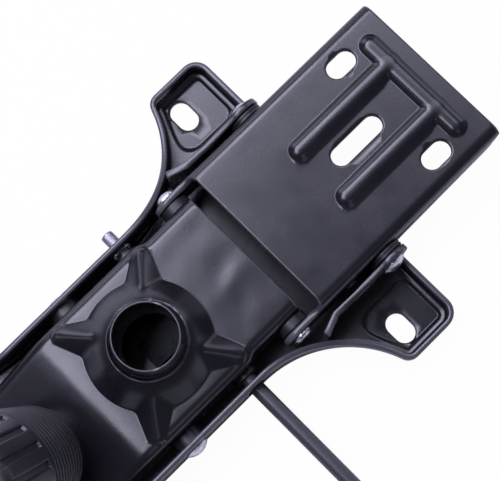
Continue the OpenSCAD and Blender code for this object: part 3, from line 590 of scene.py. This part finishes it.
def pan_side(ear_half, arc_y, edge):
    """One quarter of the outline, from the middle of the edge to the body's straight side."""
    corner_x, arc_x = ear_half - EAR_CORNER, PAN_HALF + EAR_ARC
    rise = math.sqrt((EAR_ARC + EAR_CORNER) ** 2 - (arc_x - corner_x) ** 2)
    corner_y = arc_y + rise
    lean = math.degrees(math.atan2(rise, arc_x - corner_x))
    return np.concatenate([
        [(0, edge)], arc((ear_half - EAR_TIP, edge - EAR_TIP), EAR_TIP, 90, 0, 10),
        arc((corner_x, corner_y), EAR_CORNER, 0, -lean, 10),
        arc((arc_x, arc_y), EAR_ARC, 180 - lean, 180, 26)])


def pan_outline():
    rear = pan_side(84.5, 23.5, PAN_REAR)
    front = pan_side(95.0, 45.0, -PAN_FRONT)[::-1] * np.array([1, -1])
    right = np.concatenate([rear, front])
    left = right[::-1][1:-1] * np.array([-1, 1])
    loop = spaced(np.concatenate([right, left])[::-1], 2.4)
    # The rim steps down between the lugs, so that the outline has points just there
    for x in (LUG_INNER - 0.4, LUG_INNER + 0.6):
        for g in ((x, PAN_REAR), (-x, PAN_REAR)):
            loop[np.argmin(np.linalg.norm(loop - g, axis=1))] = g
    return loop


def rim_height(p):
    """Height of the rim's edge: full at the middle, low at the ears, and lowest under the bracket."""
    x, y = np.abs(p[:, 0]), p[:, 1]
    rear = RIM_H - (RIM_H - EAR_RIM_H) * smooth((y - 24) / 50)
    front = RIM_H - (RIM_H - EAR_RIM_H) * smooth((-y - 42) / 53)
    z = np.minimum(rear, front)
    return np.where((x < LUG_INNER) & (y > 98), 9.0, z)


def pad_drop(x, y, loop):
    """How far the ears' pads lie below the pan's floor."""
    p = np.stack([x, y], 1)
    edge = signed(p, loop) - PAD_EDGE
    front = y < 0
    sx = np.abs(x) - np.where(front, FRONT_PAD[0], REAR_PAD[0])
    sy = np.abs(y) - np.where(front, FRONT_PAD[1], REAR_PAD[1])
    d = smin(smin(sx, sy, 9.0), edge, 5.0)
    return PAN_DROP * smooth((d + 0.9) / 1.9)


def pan_shell():
    loop = pan_outline()
    if area(loop) < 0:
        loop = loop[::-1]
    n = len(loop)
    rim = rim_height(loop)
    outer_r, inner_r, e = 4.0, 1.5, 0.45
    turn = np.radians(np.linspace(0, 90, 7))

    def wall(from_edge, r, floor, chamfer):
        """Rings of one side of the rim, from its top down and round the bend to the floor."""
        rows = [(from_edge + chamfer, rim), (from_edge, rim - e)]
        rows += [(from_edge + r * (1 - math.cos(a)), np.full(n, floor + r * (1 - math.sin(a)))) for a in turn]
        return [np.column_stack([inward(loop, d), height]) for d, height in rows]
    outside = wall(0, outer_r, PAN_DROP, e)
    inside = wall(PAN_T, inner_r, PAN_FLOOR, -e)
    # The floor inside the rings
    border = inward(loop, PAN_T + inner_r)
    hole_edge = 0.4
    slots = [(s * x, y) for x, y in (REAR_SLOT, FRONT_SLOT) for s in (-1, 1)]
    holes = [distinct(slot_outline(x, y, *SEAT_SLOT_SIZE))[::-1] for x, y in slots]
    tops = [inward(h, hole_edge) for h in holes]

    def shape(x, y):
        return np.stack([x, y, PAN_FLOOR - pad_drop(x, y, loop)], 1)
    extra = adaptive((-92, -130), (92, 106), shape, coarse=24, sharp=0.05, soft=0.008)
    gap = signed(extra, border)
    for h in tops:
        gap = np.minimum(gap, -signed(extra, h))
    extra = extra[gap > 0.8]
    uv, faces, where = triangulate([border] + tops, [extra])
    z = PAN_FLOOR - pad_drop(uv[:, 0], uv[:, 1], loop)
    points = [np.column_stack([uv, z]), np.column_stack([uv, z - PAN_T])]
    m = len(uv)
    tris = [tuple(f) for f in faces] + [tuple(m + k for k in f[::-1]) for f in faces]
    base = 2 * m
    points += inside[:-1] + outside[:-1]
    k_in, k_out = len(inside) - 1, len(outside) - 1

    def ring_id(side, row, k):
        if side == 0:
            return base + row * n + k if row < k_in else where[k]
        return base + (k_in + row) * n + k if row < k_out else m + where[k]
    for k in range(n):
        q = (k + 1) % n
        tris.append((ring_id(0, 0, k), ring_id(0, 0, q), ring_id(1, 0, q), ring_id(1, 0, k))[::-1])
        for row in range(k_in):
            tris.append((ring_id(0, row, k), ring_id(0, row, q), ring_id(0, row + 1, q), ring_id(0, row + 1, k)))
        for row in range(k_out):
            tris.append((ring_id(1, row, q), ring_id(1, row, k), ring_id(1, row + 1, k), ring_id(1, row + 1, q)))
    base += (k_in + k_out) * n
    start = n
    for h in holes:
        z = PAN_FLOOR - pad_drop(h[:, 0], h[:, 1], loop)
        points += [np.column_stack([h, z - hole_edge]), np.column_stack([h, z - PAN_T + hole_edge])]
        tris += edge_faces([where[start + k] for k in range(len(h))], base, m)
        base += 2 * len(h)
        start += len(h)
    obj = make_mesh("pan_shell", np.concatenate(points), tris, 52)
    r = ROD_R + 1.2
    rod_slot = np.concatenate([arc(ROD, r, 0, 180, 14), arc((ROD[0], 11.5), r, 180, 360, 14)])
    cutters = [prism(rod_slot, -60, 60, 0), prism(arc(FRONT_PIVOT, PIN_BORE, 0, 345, 23), -60, 60, 0)]
    return cut(obj, *cutters, sharp=52)


# Copies of CAD nodes with broken edges

def eased(node, width):
    """A copy of a CAD node whose sharp edges are rounded."""
    obj = bpy.data.objects.new(node + "_eased", frame["nodes"][node].data.copy())
    bpy.context.scene.collection.objects.link(obj)
    weld = obj.modifiers.new("weld", "WELD")
    weld.merge_threshold = 2e-6
    flat = obj.modifiers.new("flat", "DECIMATE")
    flat.decimate_type, flat.angle_limit = "DISSOLVE", math.radians(1.0)
    bevel = obj.modifiers.new("bevel", "BEVEL")
    bevel.width, bevel.segments = width * MM, 2
    bevel.limit_method, bevel.angle_limit = "ANGLE", math.radians(32)
    apply_modifiers(obj)
    obj.data.materials.clear()
    obj.data.shade_smooth()
    obj.data.set_sharp_from_angle(angle=math.radians(45))
    return obj


def weld_bead():
    """The uneven bead of weld round the foot of the column tube."""
    n, k, bead_r, bead_z = 144, 12, 15.7, 45.6
    points, faces = [], []
    for i in range(n):
        a = 2 * math.pi * i / n
        wave = 0.10 * math.sin(5 * a) + 0.07 * math.sin(11 * a + 1)
        for j in range(k):
            b = 2 * math.pi * j / k
            r = 0.7 + 0.4 * wave
            q = bead_r + r * math.cos(b)
            points.append((q * math.cos(a), q * math.sin(a), bead_z + r * math.sin(b)))
    for i in range(n):
        for j in range(k):
            faces.append((i * k + j, ((i + 1) % n) * k + j, ((i + 1) % n) * k + (j + 1) % k, i * k + (j + 1) % k))
    return make_mesh("socket_weld", points, faces, 60)


# Sleeve, knob and spring round the tension bolt

def sleeve():
    count = 10
    pitch, flare, wall = SLEEVE_LEN / count, (KNOB_R - SLEEVE_R) / SLEEVE_LEN, 2.0
    outer = []
    for i in range(count):
        for k in range(12):
            f = k / 12
            s = pitch * (i + f)
            lift = abs(math.sin(math.pi * f)) ** 0.55
            outer.append((SLEEVE_R + flare * s - 0.95 * (1 - lift), s))
    end = SLEEVE_LEN - SLEEVE_END
    profile = [(SLEEVE_R - wall, 0)] + outer + [(KNOB_R - 0.9, SLEEVE_LEN), (6, SLEEVE_LEN), (6, end)]
    profile += [(KNOB_R - wall - SLEEVE_END * flare, end)]

    def place(p):
        return on_bolt(p + np.array([0, 0, SLEEVE_GAP]))
    return turned("sleeve_ribbed", [(profile, place)], 128, 60)


def knob():
    grooves, per = 20, 22
    top = KNOB_LEN - 2.25
    heights = [0, 0.5, 1.6, 2.6, 3.0, 3.25, 3.6, 4.2] + list(np.linspace(5.5, top - 6, 14))
    heights += [top - 5, top - 4, top - 3, top - 2, top - 1.2, top - 0.5, top]
    rows = []
    n = grooves * per
    a = np.linspace(0, 2 * math.pi, n, endpoint=False)
    phase = a * grooves / (2 * math.pi) % 1.0
    off = np.abs(phase - 0.5) * 2 * math.pi * KNOB_R / grooves
    shape = smooth((1.75 - off) / 0.55)
    for h in heights:
        r = KNOB_R + 0.6 * h / (top - 5) if h < top - 5 else KNOB_R + 0.6
        if h < 0.5:
            r -= 0.4
        if h > top - 5:
            f = (h - top + 5) / 5
            r -= 3.6 * (1 - math.sqrt(max(0.0, 1 - f * f)))
        deep = 1.25 * float(smooth(np.array((h - 3.0) / 0.5)))
        rr = r - deep * shape
        rows.append(np.column_stack([rr * np.cos(a), rr * np.sin(a), np.full(n, h)]))
    # The inside, from the cap's seat down to the bore of the nut
    inner, seat, nut_r, hub_r = KNOB_R - 4, KNOB_LEN - CAP_DEPTH, 9.85, 11.8
    for r, h in ((inner - 2, top), (inner - 2, seat), (inner, seat - 2), (inner, 3), (hub_r, 3),
                 (hub_r, 14), (nut_r, 14), (nut_r, 3), (6, 3), (6, 0)):
        rows.append(np.column_stack([r * np.cos(a), r * np.sin(a), np.full(n, h)]))
    points = np.concatenate(rows) + np.array([0, 0, KNOB_Z])
    return make_mesh("knob_grip", on_bolt(points), ring_faces(len(rows), n, closed=True), 45)


def knob_cap():
    r = KNOB_R - 6.05
    profile = [(0, 0), (r, 0), (r, 1.7), (r - 0.3, 2.1), (r - 1.2, 2.7)]
    profile += [((r - 1.2) * (1 - k / 8), 2.7 + 1.3 * math.sin(math.pi / 2 * k / 8)) for k in range(1, 9)]

    def place(p):
        return on_bolt(p + np.array([0, 0, KNOB_Z + KNOB_LEN - CAP_DEPTH]))
    return turned("knob_cap_domed", [(profile, place)], 96)


def coil():
    """The wound spring, with its first and last turn closed."""
    turns, rings, sides, r, wire = 6, 28, 12, 14.1, 1.95
    start = COIL_SEAT_T + wire + 0.2
    span = KNOB_Z - SLEEVE_END - WASHER_T - COIL_GAP - wire - start
    closed = 2 * wire + 0.5
    points = []
    steps = turns * rings
    for i in range(steps + 1):
        t = i / rings
        if t <= 1:
            rise = closed * t
        elif t >= turns - 1:
            rise = span - closed * (turns - t)
        else:
            rise = closed + (span - 2 * closed) * (t - 1) / (turns - 2)
        a = 2 * math.pi * t
        for k in range(sides):
            b = 2 * math.pi * k / sides
            q = r + wire * math.cos(b)
            points.append((q * math.cos(a), q * math.sin(a), start + rise + wire * math.sin(b)))
    faces = ring_faces(steps + 1, sides)
    faces.append(tuple(range(sides)))
    faces.append(tuple(steps * sides + k for k in range(sides))[::-1])
    return make_mesh("tension_coil", on_bolt(points), [f[::-1] for f in faces], 50)


# Lever

def rod_end():
    """The knurled end of the lever rod."""
    n, rows, tip = 96, [], -52.0
    xs = np.concatenate([[tip, -51.7], np.linspace(-51.2, ROD_LEFT, 40)])
    a = np.linspace(0, 2 * math.pi, n, endpoint=False)
    for x in xs:
        knurl = 0.0 if x < -51.5 else 0.16
        wave = np.abs(np.sin(12 * a + 2.6 * x)) * np.abs(np.sin(12 * a - 2.6 * x))
        r = (2.6 if x == tip else 2.9) + knurl * wave
        rows.append(np.column_stack([np.full(n, x), ROD[0] + r * np.cos(a), ROD[1] + r * np.sin(a)]))
    faces = [tuple(range(n))] + ring_faces(len(rows), n)
    faces.append(tuple((len(rows) - 1) * n + i for i in range(n))[::-1])
    return make_mesh("lever_rod_knurl", np.concatenate(rows), faces, 40)


def handle():
    """A moulded paddle: round at the rod, and flat and wide at its end."""
    x0, x1, tip, n = 126.0, 194.0, 13, 64
    rows = []
    a = np.linspace(0, 2 * math.pi, n, endpoint=False)
    stations = [x0, x0 + 0.3, x0 + 1.2] + list(np.linspace(x0 + 3, x1 - tip, 20))
    stations += [x1 - tip + tip * math.sin(t) for t in np.radians(np.linspace(8, 88, 14))]
    for x in stations:
        f = smooth(np.array((x - x0 - 6) / 42.0))
        wide = 6.0 + 7.0 * f
        high = 6.0 - 1.0 * f
        if x > x1 - tip:
            wide *= math.sqrt(max(0.0, 1 - ((x - x1 + tip) / tip) ** 2))
            high *= math.sqrt(max(0.0, 1 - ((x - x1 + tip) / tip) ** 4))
        if x < x0 + 1.2:
            wide -= 1.0 - (x - x0) / 1.2
            high -= 1.0 - (x - x0) / 1.2
        power = 2 / (2 + 2.2 * f)
        cy, cz = np.cos(a), np.sin(a)
        y = ROD[0] + wide * np.sign(cy) * np.abs(cy) ** power
        z = ROD[1] + high * np.sign(cz) * np.abs(cz) ** power
        rows.append(np.column_stack([np.full(n, x), y, z]))
    faces = []
    # The bore for the rod
    bore_r = ROD_R + 0.05
    bore = np.column_stack([np.full(n, x0), ROD[0] + bore_r * np.cos(a), ROD[1] + bore_r * np.sin(a)])
    deep = bore.copy()
    deep[:, 0] = x1 - 11.9
    rows = [deep, bore] + rows
    for k in range(len(rows) - 1):
        for i in range(n):
            j = (i + 1) % n
            faces.append((k * n + i, (k + 1) * n + i, (k + 1) * n + j, k * n + j))
    last = (len(rows) - 1) * n
    faces.append(tuple(last + i for i in range(n))[::-1])
    faces.append(tuple(range(n)))
    return make_mesh("lever_paddle", np.concatenate(rows), [f[::-1] for f in faces], 60)


# Materials

def material(name, build):
    mat = bpy.data.materials.new(name)
    mat.use_nodes = True
    tree = mat.node_tree
    build(tree, tree.nodes["Principled BSDF"])
    return mat


def node(tree, kind, **values):
    n = tree.nodes.new(kind)
    for key, value in values.items():
        if key in n.inputs:
            n.inputs[key].default_value = value
        else:
            setattr(n, key, value)
    return n


def noise(tree, scale, detail=2.0, rough=0.5):
    where = node(tree, "ShaderNodeTexCoord")
    n = node(tree, "ShaderNodeTexNoise", Scale=scale, Detail=detail, Roughness=rough)
    tree.links.new(where.outputs["Object"], n.inputs["Vector"])
    return n


def ramp(tree, source, stops):
    n = node(tree, "ShaderNodeValToRGB")
    tree.links.new(source, n.inputs["Fac"])
    while len(n.color_ramp.elements) < len(stops):
        n.color_ramp.elements.new(0.5)
    for e, (at, colour) in zip(n.color_ramp.elements, stops):
        e.position = at
        e.color = (*colour, 1) if isinstance(colour, tuple) else (colour, colour, colour, 1)
    return n.outputs["Color"]


def bump(tree, shader, height, strength, distance):
    n = node(tree, "ShaderNodeBump", Strength=strength, Distance=distance)
    tree.links.new(height, n.inputs["Height"])
    tree.links.new(n.outputs["Normal"], shader.inputs["Normal"])


def paint(dark, light, rough, edge_sheen_and_wear=0.45):
    """Black coat: slight cloudiness, orange peel, a few dust specks, and edges painted paler as painted highlight
    and rubbed wear.
    """
    def build(tree, s):
        cloud = ramp(tree, noise(tree, 38, 3).outputs["Fac"], [(0.3, dark), (0.72, light)])
        speck = ramp(tree, noise(tree, 800, 1, 0.4).outputs["Fac"], [(0.81, 0.0), (0.87, 1.0)])
        mix = node(tree, "ShaderNodeMix", data_type="RGBA")
        tree.links.new(speck, mix.inputs["Factor"])
        tree.links.new(cloud, mix.inputs["A"])
        mix.inputs["B"].default_value = (0.07, 0.07, 0.08, 1)
        geo = node(tree, "ShaderNodeNewGeometry")
        # Painted highlight and rubbed wear: edges, found by pointiness, are painted paler
        edge = ramp(tree, geo.outputs["Pointiness"], [(0.53, 0.0), (0.60, edge_sheen_and_wear)])
        edge_sheen_and_rub = node(tree, "ShaderNodeMix", data_type="RGBA")
        tree.links.new(edge, edge_sheen_and_rub.inputs["Factor"])
        tree.links.new(mix.outputs["Result"], edge_sheen_and_rub.inputs["A"])
        edge_sheen_and_rub.inputs["B"].default_value = (0.30, 0.30, 0.34, 1)
        tree.links.new(edge_sheen_and_rub.outputs["Result"], s.inputs["Base Color"])
        r = ramp(tree, noise(tree, 60, 4).outputs["Fac"], [(0.3, rough - 0.03), (0.7, rough + 0.04)])
        tree.links.new(r, s.inputs["Roughness"])
        s.inputs["Specular IOR Level"].default_value = 0.62
        bump(tree, s, noise(tree, 1100, 2).outputs["Fac"], 0.1, 0.0002)
    return build


def metal(dark, light, rough, grain, strength=0.1):
    def build(tree, s):
        s.inputs["Metallic"].default_value = 1.0
        n = noise(tree, grain, 4, 0.6)
        tree.links.new(ramp(tree, n.outputs["Fac"], [(0.3, dark), (0.7, light)]), s.inputs["Base Color"])
        tree.links.new(ramp(tree, n.outputs["Fac"], [(0.3, rough), (0.75, rough + 0.14)]), s.inputs["Roughness"])
        bump(tree, s, noise(tree, grain * 2.5, 2).outputs["Fac"], strength, 0.0003)
    return build


def plastic(dark, light, rough, grain=1100, strength=0.15):
    def build(tree, s):
        n = noise(tree, 70, 3)
        tree.links.new(ramp(tree, n.outputs["Fac"], [(0.3, dark), (0.7, light)]), s.inputs["Base Color"])
        tree.links.new(ramp(tree, n.outputs["Fac"], [(0.3, rough), (0.7, rough + 0.08)]), s.inputs["Roughness"])
        bump(tree, s, noise(tree, grain, 2).outputs["Fac"], strength, 0.0002)
    return build


M = {
    # The last number given to paint() is how much paler the edges are painted: painted highlight along edges, and
    # rubbed wear
    "black_paint": material("black_paint", paint((0.0080, 0.0078, 0.0110), (0.0120, 0.0115, 0.0155), 0.26)),
    "tube_paint": material("tube_paint", paint((0.008, 0.008, 0.010), (0.012, 0.012, 0.015), 0.28, 0.7)),
    "zinc": material("zinc", metal((0.45, 0.46, 0.48), (0.72, 0.73, 0.76), 0.22, 500)),
    "bare_steel": material("bare_steel", metal((0.2, 0.2, 0.21), (0.36, 0.36, 0.37), 0.34, 300)),
    # dark_steel is steel darkened as painted shade, for the valve tab seen deep down the socket's bore
    "dark_steel": material("dark_steel", metal((0.035, 0.035, 0.04), (0.08, 0.08, 0.088), 0.6, 300)),
    "spring_steel": material("spring_steel", metal((0.05, 0.05, 0.055), (0.1, 0.1, 0.11), 0.35, 300)),
    "knurl_steel": material("knurl_steel", metal((0.24, 0.24, 0.27), (0.42, 0.42, 0.46), 0.36, 900, 0.3)),
    "rod_steel": material("rod_steel", paint((0.010, 0.010, 0.013), (0.014, 0.014, 0.018), 0.36, 0.2)),
    "black_plastic": material("black_plastic", plastic((0.010, 0.010, 0.012), (0.015, 0.015, 0.018), 0.34)),
    "knob_plastic": material("knob_plastic", plastic((0.016, 0.0155, 0.019), (0.023, 0.022, 0.027), 0.32)),
}


def finish_piece(obj, mat, body, replaces=()):
    obj.data.materials.clear()
    obj.data.materials.append(M[mat])
    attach(obj, body)
    if replaces:
        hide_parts(*replaces)
    return obj


slots = {s["node"]: s["material_slot"] for s in frame["record"]["subparts"]}
for name, obj in frame["nodes"].items():
    obj.data.materials.clear()
    obj.data.materials.append(M[slots[name]])

# Camera, at the photograph's place
right = Vector((0.7031, 0.7101, -0.0385)).normalized()
back = Vector((0.1521, -0.0973, 0.9836)).normalized()
up = back.cross(right).normalized()
right = up.cross(back).normalized()
camera = bpy.data.objects.new("camera", bpy.data.cameras.new("camera"))
bpy.context.scene.collection.objects.link(camera)
camera.matrix_world = Matrix(((right.x, up.x, back.x, 0.0960), (right.y, up.y, back.y, -0.0010),
                              (right.z, up.z, back.z, 0.6072), (0, 0, 0, 1)))
camera.data.sensor_width, camera.data.lens = 36.0, 106.24
bpy.context.scene.camera = camera

# Pieces
finish_piece(pan_shell(), "black_paint", "seat", replaces=["seat_plate"])
finish_piece(housing_shell(), "black_paint", "housing", replaces=["column_housing"])
finish_piece(bracket_shell(), "black_paint", "bracket", replaces=["back_bracket"])
for name, width in (("seat_lug_left", 0.45), ("seat_lug_right", 0.45), ("bolt_anchor", 0.6)):
    finish_piece(eased(name, width), "black_paint", "seat", replaces=[name])
# The valve tab's dark colour is painted shade of the deep bore it is seen through
finish_piece(eased("gas_lift_tab", 0.6), "dark_steel", "valve_tab", ["gas_lift_tab"])
finish_piece(eased("socket_brace", 0.4), "black_paint", "housing", replaces=["socket_brace"])

# The tube narrows above the housing, and its mouth has a rolled lip
lip = [(BORE_R, 0), (TUBE_R, 0), (TUBE_R, 23.2), (15.3, 24.4)]
lip += [(r, TUBE_LEN - down) for r, down in ((15.1, 1.1), (14.98, 0.5), (14.72, 0.1), (14.5, 0), (14.28, 0.05),
                                             (14.05, 0.3), (13.98, 0.7), (BORE_R, 2.5))]
tube = turned("socket_tube", [(lip, along_z(MOUTH - TUBE_LEN))], 96)
finish_piece(tube, "tube_paint", "housing", ["column_tube"])
finish_piece(weld_bead(), "tube_paint", "housing")

sides = (-1, 1)
pin_start = 35.8
pins = [(dome_profile(*PIN_HEAD), along_x(LUG_OUTER, *REAR_PIVOT, s)) for s in sides]
pins += [(ring_profile(0, PIN_R, LUG_OUTER - pin_start, 0.5), along_x(pin_start, *REAR_PIVOT, s)) for s in sides]
finish_piece(turned("rear_pins", pins), "zinc", "seat", replaces=["rear_pivot_pins"])
rings = [(ring_profile(PIN_BORE, 6, 1.2, 0.25), along_x(pin_start + 0.5, *REAR_PIVOT, s)) for s in sides]
finish_piece(turned("rear_rings", rings), "zinc", "seat", replaces=["rear_pivot_rings"])
flange = [(PIN_BORE, 0), (BUSH_R, 0), (BUSH_R, 4), (8.2, 4), (8.6, 4.4), (8.6, 5.1), (8.3, 5.45), (8.3, 5.65),
          (8.6, 6), (8.6, 6.6), (8.2, 7), (PIN_BORE, 7)]
bushes = [(flange, along_x(ARM_INNER - 1, *REAR_PIVOT, s)) for s in sides]
finish_piece(turned("rear_bushes", bushes), "black_plastic", "bracket", replaces=["rear_pivot_bushes"])
x = BRACKET_HALF + 0.3
axle = [(dome_profile(*AXLE_HEAD), along_x(x, *MID_PIVOT, -1)),
        (ring_profile(0, PIN_R, 2 * x + 1.8, 0.4), along_x(-x, *MID_PIVOT))]
finish_piece(turned("mid_axle", axle), "zinc", "bracket", replaces=["mid_pivot_axle"])
nut = [(dome_profile(*AXLE_HEAD, PIN_BORE), along_x(BRACKET_HALF + 0.05, *MID_PIVOT))]
finish_piece(turned("mid_push_nut", nut), "zinc", "bracket", replaces=["axle_push_nut"])
rivets = [(dome_profile(*RIVET_HEAD), along_x(BRACKET_HALF, *RIVET, s)) for s in sides]
rivets += [(ring_profile(0, 2, 4, 0.2), along_x(ARM_INNER - 1, *RIVET, s)) for s in sides]
finish_piece(turned("stop_rivet_heads", rivets, 40), "zinc", "bracket", replaces=["stop_rivets"])
front = [(dome_profile(*PIN_HEAD), along_x(PAN_HALF, *FRONT_PIVOT)),
         (ring_profile(0, PIN_R, 2 * PAN_HALF + 2.4, 0.5), along_x(-PAN_HALF - 2.4, *FRONT_PIVOT))]
finish_piece(turned("front_pin", front), "zinc", "seat", replaces=["front_pivot_pin"])
spacer = [(PIN_BORE, 0), (BUSH_R, 0), (BUSH_R, 1), (7.1, 1), (7.5, 1.4), (7.5, 5), (7.1, 5.4), (PIN_BORE, 5.4)]
mid = [(spacer, along_x(33.3, *MID_PIVOT, s)) for s in sides]
finish_piece(turned("mid_bushes", mid), "black_plastic", "housing", replaces=["mid_pivot_bushes"])

finish_piece(sleeve(), "knob_plastic", "knob_carrier", ["spring_sleeve"])
finish_piece(knob(), "knob_plastic", "knob", ["tension_knob"])
finish_piece(knob_cap(), "knob_plastic", "knob", ["knob_cap"])
spring = finish_piece(coil(), "spring_steel", "housing", replaces=["tension_spring"])
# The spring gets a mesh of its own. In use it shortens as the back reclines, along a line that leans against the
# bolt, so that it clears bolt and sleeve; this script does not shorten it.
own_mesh(spring)

rod = [(ring_profile(0, ROD_R, ROD_RIGHT - ROD_LEFT, 0.4), along_x(ROD_LEFT, *ROD))]
finish_piece(turned("lever_rod_body", rod, 48), "rod_steel", "lever", replaces=["lever_rod"])
finish_piece(rod_end(), "knurl_steel", "lever")
finish_piece(handle(), "black_plastic", "lever", replaces=["lever_handle"])

# Floor, light and background

def backdrop(tree, surface, share):
    """Lets camera and transmission rays see this share of plain white, and all other rays the surface itself."""
    out = next(n for n in tree.nodes if n.type.startswith("OUTPUT"))
    path = node(tree, "ShaderNodeLightPath")
    kind = "ShaderNodeEmission" if out.type == "OUTPUT_MATERIAL" else "ShaderNodeBackground"
    glow = node(tree, kind, Color=(1, 1, 1, 1), Strength=1.0)
    top = node(tree, "ShaderNodeMath", operation="MAXIMUM")
    tree.links.new(path.outputs["Is Camera Ray"], top.inputs[0])
    tree.links.new(path.outputs["Is Transmission Ray"], top.inputs[1])
    level = node(tree, "ShaderNodeMath", operation="MULTIPLY")
    tree.links.new(top.outputs[0], level.inputs[0])
    level.inputs[1].default_value = share
    mix = node(tree, "ShaderNodeMixShader")
    tree.links.new(level.outputs[0], mix.inputs["Fac"])
    tree.links.new(surface, mix.inputs[1])
    tree.links.new(glow.outputs[0], mix.inputs[2])
    tree.links.new(mix.outputs[0], out.inputs["Surface"])


def floor_material():
    mat = bpy.data.materials.new("floor_white")
    mat.use_nodes = True
    tree = mat.node_tree
    s = tree.nodes["Principled BSDF"]
    s.inputs["Base Color"].default_value = (0.86, 0.86, 0.87, 1)
    s.inputs["Roughness"].default_value = 0.9
    backdrop(tree, s.outputs[0], 0.97)
    return mat


mesh = bpy.data.meshes.new("floor")
z = -MOUTH * MM - 0.0002
mesh.from_pydata([(-6, -6, z), (6, -6, z), (6, 6, z), (-6, 6, z)], [], [(0, 1, 2, 3)])
mesh.materials.append(floor_material())
floor = bpy.data.objects.new("floor", mesh)
bpy.context.scene.collection.objects.link(floor)

world = bpy.data.worlds.new("studio")
bpy.context.scene.world = world
world.use_nodes = True
tree = world.node_tree
sky = tree.nodes["Background"]
sky.inputs["Color"].default_value = (0.80, 0.80, 1.0, 1)
sky.inputs["Strength"].default_value = 0.09
backdrop(tree, sky.outputs[0], 1.0)


def lamp(name, direction, distance, size, power, colour=(1, 1, 1), turn=0):
    """A soft box, its width turned from the photograph's right by an angle in degrees."""
    light = bpy.data.lights.new(name, "AREA")
    light.shape, light.size, light.size_y = "RECTANGLE", size[0], size[1]
    light.energy, light.color = power, colour
    obj = bpy.data.objects.new(name, light)
    bpy.context.scene.collection.objects.link(obj)
    z = Vector(direction).normalized()
    wide = right * math.cos(math.radians(turn)) + up * math.sin(math.radians(turn))
    x = (wide - z * wide.dot(z)).normalized()
    y = z.cross(x)
    obj.matrix_world = Matrix(((x.x, y.x, z.x, z.x * distance), (x.y, y.y, z.y, z.y * distance),
                               (x.z, y.z, z.z, z.z * distance), (0, 0, 0, 1)))


def seen(across, upward, towards):
    """A direction given as the photograph's right, up and towards the camera."""
    return right * across + up * upward + back * towards


cool = (0.79, 0.785, 1.0)
lamp("window", seen(-0.430, 0.398, 1.0), 1.5, (0.64, 1.4), 24, cool, -17.5)
lamp("over", seen(0.05, 0.9, 1.0), 1.6, (0.9, 0.6), 7, cool)
lamp("low_left", seen(-0.6, 0.8, 0.15), 1.5, (0.7, 0.7), 4, cool)
lamp("low_right", seen(0.6, 0.8, 0.15), 1.5, (0.7, 0.7), 2.5, cool)
lamp("side", seen(-0.95, -0.1, 0.9), 1.5, (0.45, 0.45), 1.2, cool)
lamp("near", seen(0.6, -0.6, 1.0), 1.5, (0.6, 0.6), 0.8, cool)

bpy.context.scene.view_settings.view_transform = "Standard"
